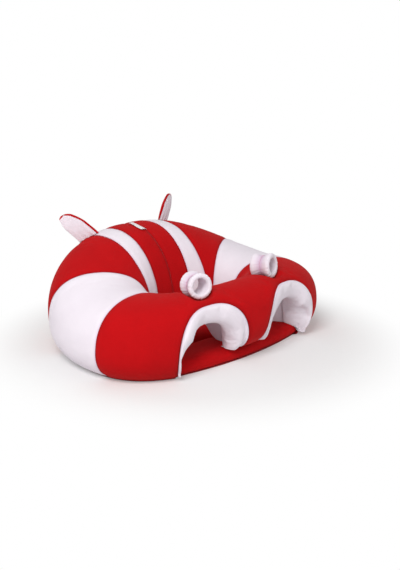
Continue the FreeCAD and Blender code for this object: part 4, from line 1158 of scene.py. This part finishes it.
def ear_frame():
    """Root, hinge, facing and rising direction of the left ear."""
    step = math.radians(1)

    def at(turn, angle):
        return wall_points(np.array(turn), np.array(angle))

    root = at(EAR_TURN, EAR_ANGLE)
    along = unit(at(EAR_TURN - step, EAR_ANGLE) - at(EAR_TURN + step, EAR_ANGLE))
    climb = at(EAR_TURN, EAR_ANGLE + step) - at(EAR_TURN, EAR_ANGLE - step)
    climb = unit(climb - along * (climb @ along))
    outward = pointing(unit(np.cross(along, climb)), 1)
    hinge = along * math.cos(EAR_SLANT) - climb * math.sin(EAR_SLANT)
    over = climb * math.cos(EAR_SLANT) + along * math.sin(EAR_SLANT)
    rise = outward * math.cos(EAR_TILT) + over * math.sin(EAR_TILT)
    facing = pointing(np.cross(rise, hinge), 1, -1)
    return root + outward * EAR_ROOT_GAP, hinge, facing, rise


def drop_to_wall(points, downwards):
    """How far each point has to go down to reach the left side of the wall."""
    turns = np.radians(np.linspace(EAR_TURN * 180 / math.pi - 16, 180, 130))[:, None]
    skin = wall_points(turns, np.radians(np.linspace(30, 120, 150))[None, :]).reshape(-1, 3)
    drops = np.linspace(0, 0.006, 13)
    away = []
    for drop in drops:
        gaps = np.linalg.norm(points[:, None] + downwards * drop - skin[None], axis=-1)
        away.append(gaps.min(axis=1))
    return drops[np.argmin(np.array(away), axis=0)]


def ear_layer(side, layer):
    """White face or red back of one ear; the back wraps over its upper edge as a thin rim."""
    root, hinge, facing, rise = ear_frame()
    shares = np.sin(np.linspace(0, math.pi / 2, EAR_ROWS + 1))
    rows = []
    for share in shares:
        swell = math.sin(math.pi * share**EAR_SWELL)
        tip = max(share - 0.5, 0.0) * 2
        width = mix(EAR_ROOT_WIDTH, EAR_WIDTH, float(smooth(share * EAR_WIDENING)))
        width = mix(width, EAR_TIP_WIDTH, tip**EAR_TAPER)
        beyond = max(share - (1 - EAR_TIP_ROUND), 0.0) / EAR_TIP_ROUND
        width *= math.sqrt(max(1 - beyond**2 * 0.8, 0.0))
        ends = mix(EAR_ROOT_THICKNESS, EAR_TIP_THICKNESS, share)
        thickness = ends + (EAR_THICKNESS - ends) * swell
        closing = float(smooth((share - EAR_CLOSING) / (1 - EAR_CLOSING)))
        opening = float(smooth((share - EAR_RIM_START) / EAR_RIM_GROWTH))
        rim = mix(EAR_RIM_ANGLE, EAR_TIP_RIM_ANGLE, opening)
        upper, lower = (mix(angle, math.pi * 0.5, closing) for angle in (rim, 0.0))
        rear = 2 * math.pi + lower
        first, last = (lower, math.pi - upper) if layer == "face" else (math.pi - upper, rear)
        around = np.linspace(first, last, EAR_COLUMNS + 1)
        across = spow(np.cos(around), 2 / EAR_FULLNESS)
        pleat = np.sin(across * 11 + 0.6) + 0.5 * np.sin(across * 23)
        height = thickness / 2 * spow(np.sin(around), EAR_FLATNESS)
        pleat = EAR_PLEAT * math.exp(-share / EAR_PLEAT_FADE) * pleat
        height = height + pleat * (1 - across**2)
        aside = hinge * (EAR_LEAN * share + width * across)[:, None]
        rows.append(root + aside + rise * (EAR_LENGTH * share) + facing * height[:, None])
    grid = np.array(rows)
    fall = np.exp(-shares / EAR_FALL_FADE)[:, None] * drop_to_wall(grid[0], -rise)[None, :]
    grid = (grid - rise * fall[..., None]) * FLIPS[side]
    faces = grid_faces(EAR_ROWS + 1, EAR_COLUMNS + 1)
    piece = make_piece(f"ear_{side}_{layer}_cloth", grid.reshape(-1, 3), faces)
    edge = np.abs(np.linspace(-1, 1, EAR_COLUMNS + 1))[None, :] * np.ones((EAR_ROWS + 1, 1))
    # painted shade along the ear's sewn edges
    mark_seam_shade(piece, smooth((edge - EAR_EDGE_SHADE_START) / EAR_EDGE_SHADE_FADE) * 0.7)
    middle = (EAR_ROWS // 2) * EAR_COLUMNS + EAR_COLUMNS // 2
    look_along(piece, middle, facing * FLIPS[side] * (1 if layer == "face" else -1))
    return piece


# Label, zip, base and stitches


LABEL_GAP, LABEL_OPENING, LABEL_WAVE = 0.0003, 0.0002, 0.0006
LABEL_CURL, LABEL_SEAM_CURL, LABEL_SEAM_SHARE = 0.0016, 0.0014, 0.1


def label():
    """Folded blank ribbon flopped over the crown of the back."""
    along = unit(np.array([0.0, -0.9866, -0.163]))
    reach = split(coordinates(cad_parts["label_tag"]) - LABEL_PIVOT, along)[1]
    up = unit(reach[np.argmax(np.linalg.norm(reach, axis=1))])
    out = pointing(np.cross(along, up), 2)
    columns, rows = 40, 12
    folded = [(share, 1) for share in np.linspace(0, 1, rows + 1)]
    folded += [(share, -1) for share, _ in folded[::-1]]
    points = []
    for i in range(columns + 1):
        foot = LABEL_PIVOT + along * (i / columns - 0.5) * LABEL_LENGTH
        for share, sign in folded:
            gap = LABEL_OPENING * math.sin(math.pi * share) + LABEL_GAP
            wave = LABEL_WAVE * math.sin(i / columns * 5.2 + 0.5) * share
            curl = -LABEL_CURL * share**2 - LABEL_SEAM_CURL * bell(share, LABEL_SEAM_SHARE)
            points.append(foot + up * (LABEL_HEIGHT * share) + out * (sign * gap + wave + curl))
    piece = make_piece("bare_label_ribbon", points, grid_faces(columns + 1, len(folded)))
    look_along(piece, 0, out)
    thicken(piece, RIBBON)
    return piece


def zip_points(degrees, run, lift):
    """Points on the zip: turn about its upright axis, way up the slope, height off the back."""
    turn = np.radians(degrees)
    radius = ZIP_RADIUS + run * math.sin(ZIP_SLOPE) + lift * math.cos(ZIP_SLOPE)
    height = ZIP_HEIGHT + run * math.cos(ZIP_SLOPE) - lift * math.sin(ZIP_SLOPE)
    x, y = -radius * np.sin(turn), radius * np.cos(turn)
    return np.stack(np.broadcast_arrays(x, y, height), axis=-1) + ZIP_AXIS


def zip_tape(name, low, high):
    """Woven tape along one side of the zip."""
    rows, columns = 91, 9
    degrees = np.linspace(-ZIP_HALF_ANGLE, ZIP_HALF_ANGLE, rows)[:, None]
    runs = np.linspace(low, high, columns)
    wave = TAPE_WAVE * np.sin(degrees * 9)
    top = zip_points(degrees, runs[None, :], TAPE_TOP + wave)
    under = zip_points(degrees, runs[None, ::-1], TAPE_BASE + wave)
    return tube(name, np.concatenate([top, under], axis=1))


def copies_along(name, material, pitch, form):
    """Geometry nodes that set copies of a small form along lines of points."""
    group = bpy.data.node_groups.new(name, "GeometryNodeTree")
    for way in ("INPUT", "OUTPUT"):
        group.interface.new_socket("Geometry", in_out=way, socket_type="NodeSocketGeometry")
    tree = Tree(group)

    def add(kind, settings=None, output=0, **sockets):
        named = {key.replace("_", " "): value for key, value in sockets.items()}
        return tree.node(kind, settings, named, output)

    curve = add("GeometryNodeMeshToCurve", Mesh=add("NodeGroupInput"))
    even = add("GeometryNodeResampleCurve", {"mode": "LENGTH"}, Curve=curve, Length=pitch)
    stored = {"data_type": "FLOAT_VECTOR"}
    outward = add("GeometryNodeInputNamedAttribute", stored, "Attribute", Name="outward")
    align, tangent = "FunctionNodeAlignRotationToVector", add("GeometryNodeInputTangent")
    turn = add(align, {"axis": "X"}, Vector=tangent)
    turn = add(align, {"axis": "Z", "pivot_axis": "X"}, Rotation=turn, Vector=outward)
    copies = add("GeometryNodeInstanceOnPoints", Points=even, Instance=form(add), Rotation=turn)
    real = add("GeometryNodeRealizeInstances", Geometry=copies)
    painted = add("GeometryNodeSetMaterial", Geometry=real, Material=material)
    tree.node("NodeGroupOutput", {}, {0: tree.node("GeometryNodeSetShadeSmooth", {}, {0: painted})})
    return group


STITCH_SIZE, STITCH_PITCH = (0.0015, 0.00036, 0.00036), 0.0042
COIL_SIZE, COIL_WIRE, COIL_PITCH = (0.0015, 0.0006, 1.0), 0.00022, 0.0016


def stitch_form(add):
    """One laid stitch: a short capsule along the line."""
    ball = add("GeometryNodeMeshUVSphere", Segments=8, Rings=6, Radius=1.0)
    return add("GeometryNodeTransform", Geometry=ball, Scale=STITCH_SIZE)


def coil_form(add):
    """One loop of the zip's coil: a flattened ring across the line."""
    ring = "GeometryNodeCurvePrimitiveCircle"
    spine, profile = add(ring, Resolution=14, Radius=1.0), add(ring, Resolution=6, Radius=COIL_WIRE)
    shaped = add("GeometryNodeTransform", Geometry=spine, Scale=COIL_SIZE)
    wire = add("GeometryNodeCurveToMesh", Curve=shaped, Profile_Curve=profile)
    upright = (math.radians(90), 0.0, math.radians(90))
    return add("GeometryNodeTransform", Geometry=wire, Rotation=upright)


STITCHES = copies_along("red stitch line", RED_THREAD, STITCH_PITCH, stitch_form)
COIL = copies_along("coil line", FINISHES["zip_plastic"], COIL_PITCH, coil_form)


def repeat_along(name, lines, copies):
    """Plain mesh of copies set along lines; a line is its points and their outward ways."""
    edges, start = [], 0
    for line, _ in lines:
        edges += [(start + i, start + i + 1) for i in range(len(line) - 1)]
        start += len(line)
    mesh = bpy.data.meshes.new(name)
    mesh.from_pydata([tuple(p) for line, _ in lines for p in line], edges, [])
    outwards = np.concatenate([outward for _, outward in lines])
    attribute = mesh.attributes.new("outward", "FLOAT_VECTOR", "POINT")
    attribute.data.foreach_set("vector", np.asarray(outwards, np.float32).ravel())
    piece = add_object(name, mesh)
    modify(piece, "NODES", node_group=copies)
    return piece


# Swell the stuffed pieces, then finish them

swell_all()

for piece, slot, nodes in panels:
    subdivide(piece)
    set_coordinates(piece, press_under_zip(coordinates(piece)))
    thicken(piece, PANEL_CLOTH)
    dress(piece, "seat", slot, nodes, fill=0.9)

for side in SIDES:
    roll, lining = lips[side], tunnels[side]
    subdivide(roll)
    nodes = [f"leg_arch_padding_{side}", f"leg_arch_lip_cover_{side}"]
    dress(roll, "seat", "white_plush", nodes, 0.7)
    sew(lining, LINING_CLOTH, "seat", "white_plush", [f"leg_arch_lining_{side}"], 0.3)

for piece, word in ((cushion, "seat_cushion"), (leg_pad, "leg_pad")):
    subdivide(piece)
    mark_seam_shade(piece, np.zeros(len(piece.data.vertices)))
    dress(piece, "seat", "red_plush", [f"{word}_cover", f"{word}_filling"], fill=0.8)

for side in SIDES:
    horn, ear = f"horn_{side}", f"ear_{side}"
    sleeve = [f"{horn}_sleeve", f"{horn}_wadding"]
    sew(cuff(side), SLEEVE_CLOTH, horn, "white_plush", sleeve, 0.8)
    sew(cuff_lining(side), BORE_CLOTH, horn, "white_plush", [f"{horn}_bore_lining"], 0.5)
    dress(cuff_thread(side), horn, "thread", [f"{horn}_thread"])
    face = [f"{ear}_face", f"{ear}_wadding"]
    sew(ear_layer(side, "face"), EAR_CLOTH, ear, "white_plush", face, 0.5)
    sew(ear_layer(side, "back"), EAR_CLOTH, ear, "red_plush", [f"{ear}_back"], 0.5)

ribbon = label()
dress(ribbon, "label", "white_tape", ["label_tag"])

for name, low, high in (("upper", 0.0, TAPE_WIDTH), ("lower", -TAPE_WIDTH, 0.0)):
    tape = zip_tape(f"zip_tape_{name}_cloth", low, high)
    dress(tape, "seat", "zip_tape", [f"zip_tape_{name}"])

COIL_HALF_ANGLE, COIL_LIFT = 5.75, 0.00105
degrees = np.linspace(-COIL_HALF_ANGLE, COIL_HALF_ANGLE, 120)
away = unit(zip_points(degrees, 0.0, 0.01) - zip_points(degrees, 0.0, 0.0))
coil = repeat_along("zip_coil_loops", [(zip_points(degrees, 0.0, COIL_LIFT), away)], COIL)
dress(coil, "seat", "zip_plastic", ["zip_coil"])

for node in ("zip_end_stops", "zip_slider", "zip_pull"):
    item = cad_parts[node]
    item.data.materials.clear()
    item.data.materials.append(FINISHES["zip_metal"])


# front edge of the base under the leg pad: share of the pad's half width, depth
ARC_SHARES = np.linspace(0, 1, 12)
ARC_DEPTHS = mix(0.131, 0.111, ARC_SHARES**2)
BASE_ROUND, BASE_UNDERSIDE, BASE_RIPPLE = 480, 0.0002, 0.0004


def base_cloth():
    """Woven cloth that closes the seat's underside."""
    turns = round_turn(BASE_ROUND)
    outline = wall_points(turns, np.full_like(turns, -FOOT_ANGLE))
    outline[:, 2] = 0
    cut = np.interp(np.abs(outline[:, 0]) / PAD_HALF_WIDTH, ARC_SHARES, ARC_DEPTHS)
    before = (np.abs(outline[:, 0]) < PAD_HALF_WIDTH) & (outline[:, 1] < -cut)
    outline[before, 1] = -cut[before]
    flat = np.array([outline * ring for ring in np.linspace(0.02, 1.0, 26)])
    top, under = (flat + np.array([0, 0, height]) for height in (BOTTOM_CLOTH, BASE_UNDERSIDE))
    under[..., 2] += BASE_RIPPLE * (cloud(under, 30.0, 9.0) * 0.5 + 0.5)
    rows = np.concatenate([top, under[::-1]])
    faces = grid_faces(len(rows), BASE_ROUND, closed_rows=True, closed_columns=True)
    return make_solid("woven_base", rows.reshape(-1, 3), faces)


base = base_cloth()
dress(base, "seat", "bottom_cloth", ["bottom_cloth_panel"])

# rows of a seam's line that carry stitches, and how deep these lie
LINE_ROWS, LINE_LOW, LINE_HIGH, STITCH_SINK = 160, 6, 153, 0.0016


def wall_line(seam, side):
    """Line of points along a seam over the wall, and its outward ways."""
    turns, angles, points = (
        values[0, LINE_LOW:LINE_HIGH] for values in wall_grid(seam, seam, 1, LINE_ROWS)
    )
    outward = outward_way(turns, angles)
    return (points - outward * STITCH_SINK) * FLIPS[side], outward * FLIPS[side]


paired = (FRONT_SEAM, ARM_SEAM, "outer", "inner")
seams = [wall_line(seam, side) for seam in paired for side in SIDES]
seams.append(wall_line(BACK_SEAM, "left"))
stitches = repeat_along("wall_seam_stitches", seams, STITCHES)
dress(stitches, "seat", "thread", material=RED_THREAD)

# Floor, light and camera


FLOOR_SIZE, FLOOR_COLOUR = 6.0, (0.80, 0.79, 0.79, 1.0)
FLOOR_FADE = {"From Min": 0.27, "From Max": 0.44, "To Min": 0.2, "To Max": 1.0}
WHITE_LIGHT = (1.0, 1.0, 1.0, 1.0)


def pale_floor(size):
    """Pale floor that keeps the soft shadow near the seat and reads as plain white further off."""
    name = "pale_floor"
    corners = [(-size, -size, 0), (size, -size, 0), (size, size, 0), (-size, size, 0)]
    floor = make_piece(name, corners, [(0, 1, 2, 3)])
    finish = Finish(name)
    lit = finish.node("ShaderNodeBsdfDiffuse", {}, {"Color": FLOOR_COLOUR})
    plain = finish.node("ShaderNodeEmission", {}, {"Color": WHITE_LIGHT, "Strength": 1.0})
    length = {"operation": "LENGTH"}
    reach = finish.node("ShaderNodeVectorMath", length, {0: finish.place()}, "Value")
    smoothly = {"interpolation_type": "SMOOTHSTEP"}
    fade = finish.node("ShaderNodeMapRange", smoothly, {"Value": reach, **FLOOR_FADE})
    shader = finish.node("ShaderNodeMixShader", {}, {0: fade * finish.seen(), 1: lit, 2: plain})
    finish.node("ShaderNodeOutputMaterial", {}, {"Surface": shader})
    floor.data.materials.append(finish.material)


pale_floor(FLOOR_SIZE)


def aim(data, place, way):
    """Put a lamp or camera in the scene, looking along a way."""
    item = add_object(data.name, data)
    item.location = place
    item.rotation_euler = way.to_track_quat("-Z", "Y").to_euler()
    return item


LIGHT_TARGET = Vector((0, 0, 0.1))
LIGHTS = [
    ("soft_key", (-1.5, -0.75, 1.7), 1.0, 39),
    ("soft_fill", (0.7, -1.9, 1.1), 1.6, 8),
    ("soft_back", (0.6, 1.7, 1.9), 1.4, 6),
]
for name, place, size, power in LIGHTS:
    data = bpy.data.lights.new(name, "AREA")
    data.energy, data.size = power, size
    aim(data, place, LIGHT_TARGET - Vector(place))

# white to the eye, dimmer as a light
ROOM_LIGHT, ROOM_SEEN = 0.4, 1.0
world = bpy.data.worlds.new("pale_room")
bpy.context.scene.world = world
world.use_nodes = True
room = Tree(world.node_tree)
glow, shown = (
    room.node("ShaderNodeBackground", {}, {"Color": WHITE_LIGHT, "Strength": strength})
    for strength in (ROOM_LIGHT, ROOM_SEEN)
)
surround = room.node("ShaderNodeMixShader", {}, {0: room.seen(), 1: glow, 2: shown})
room.node("ShaderNodeOutputWorld", {}, {"Surface": surround})

PHOTO_SHIFT, PHOTO_HEIGHT = (4.51, 6.38), 570
CAMERA_TARGET, CAMERA_DISTANCE, CAMERA_LENS = Vector((0, 0, 0.10)), 2.0, 65.7
CAMERA_AZIMUTH, CAMERA_ELEVATION = math.radians(-45), math.radians(17.18)

camera_data = bpy.data.cameras.new("photo_camera")
camera_data.lens = CAMERA_LENS
camera_data.shift_x, camera_data.shift_y = (shift / PHOTO_HEIGHT for shift in PHOTO_SHIFT)
level = math.cos(CAMERA_ELEVATION)
away = Vector((
    math.sin(CAMERA_AZIMUTH) * level, -math.cos(CAMERA_AZIMUTH) * level, math.sin(CAMERA_ELEVATION)
))
bpy.context.scene.camera = aim(camera_data, CAMERA_TARGET + away * CAMERA_DISTANCE, -away)
bpy.context.scene.view_settings.view_transform = "Standard"
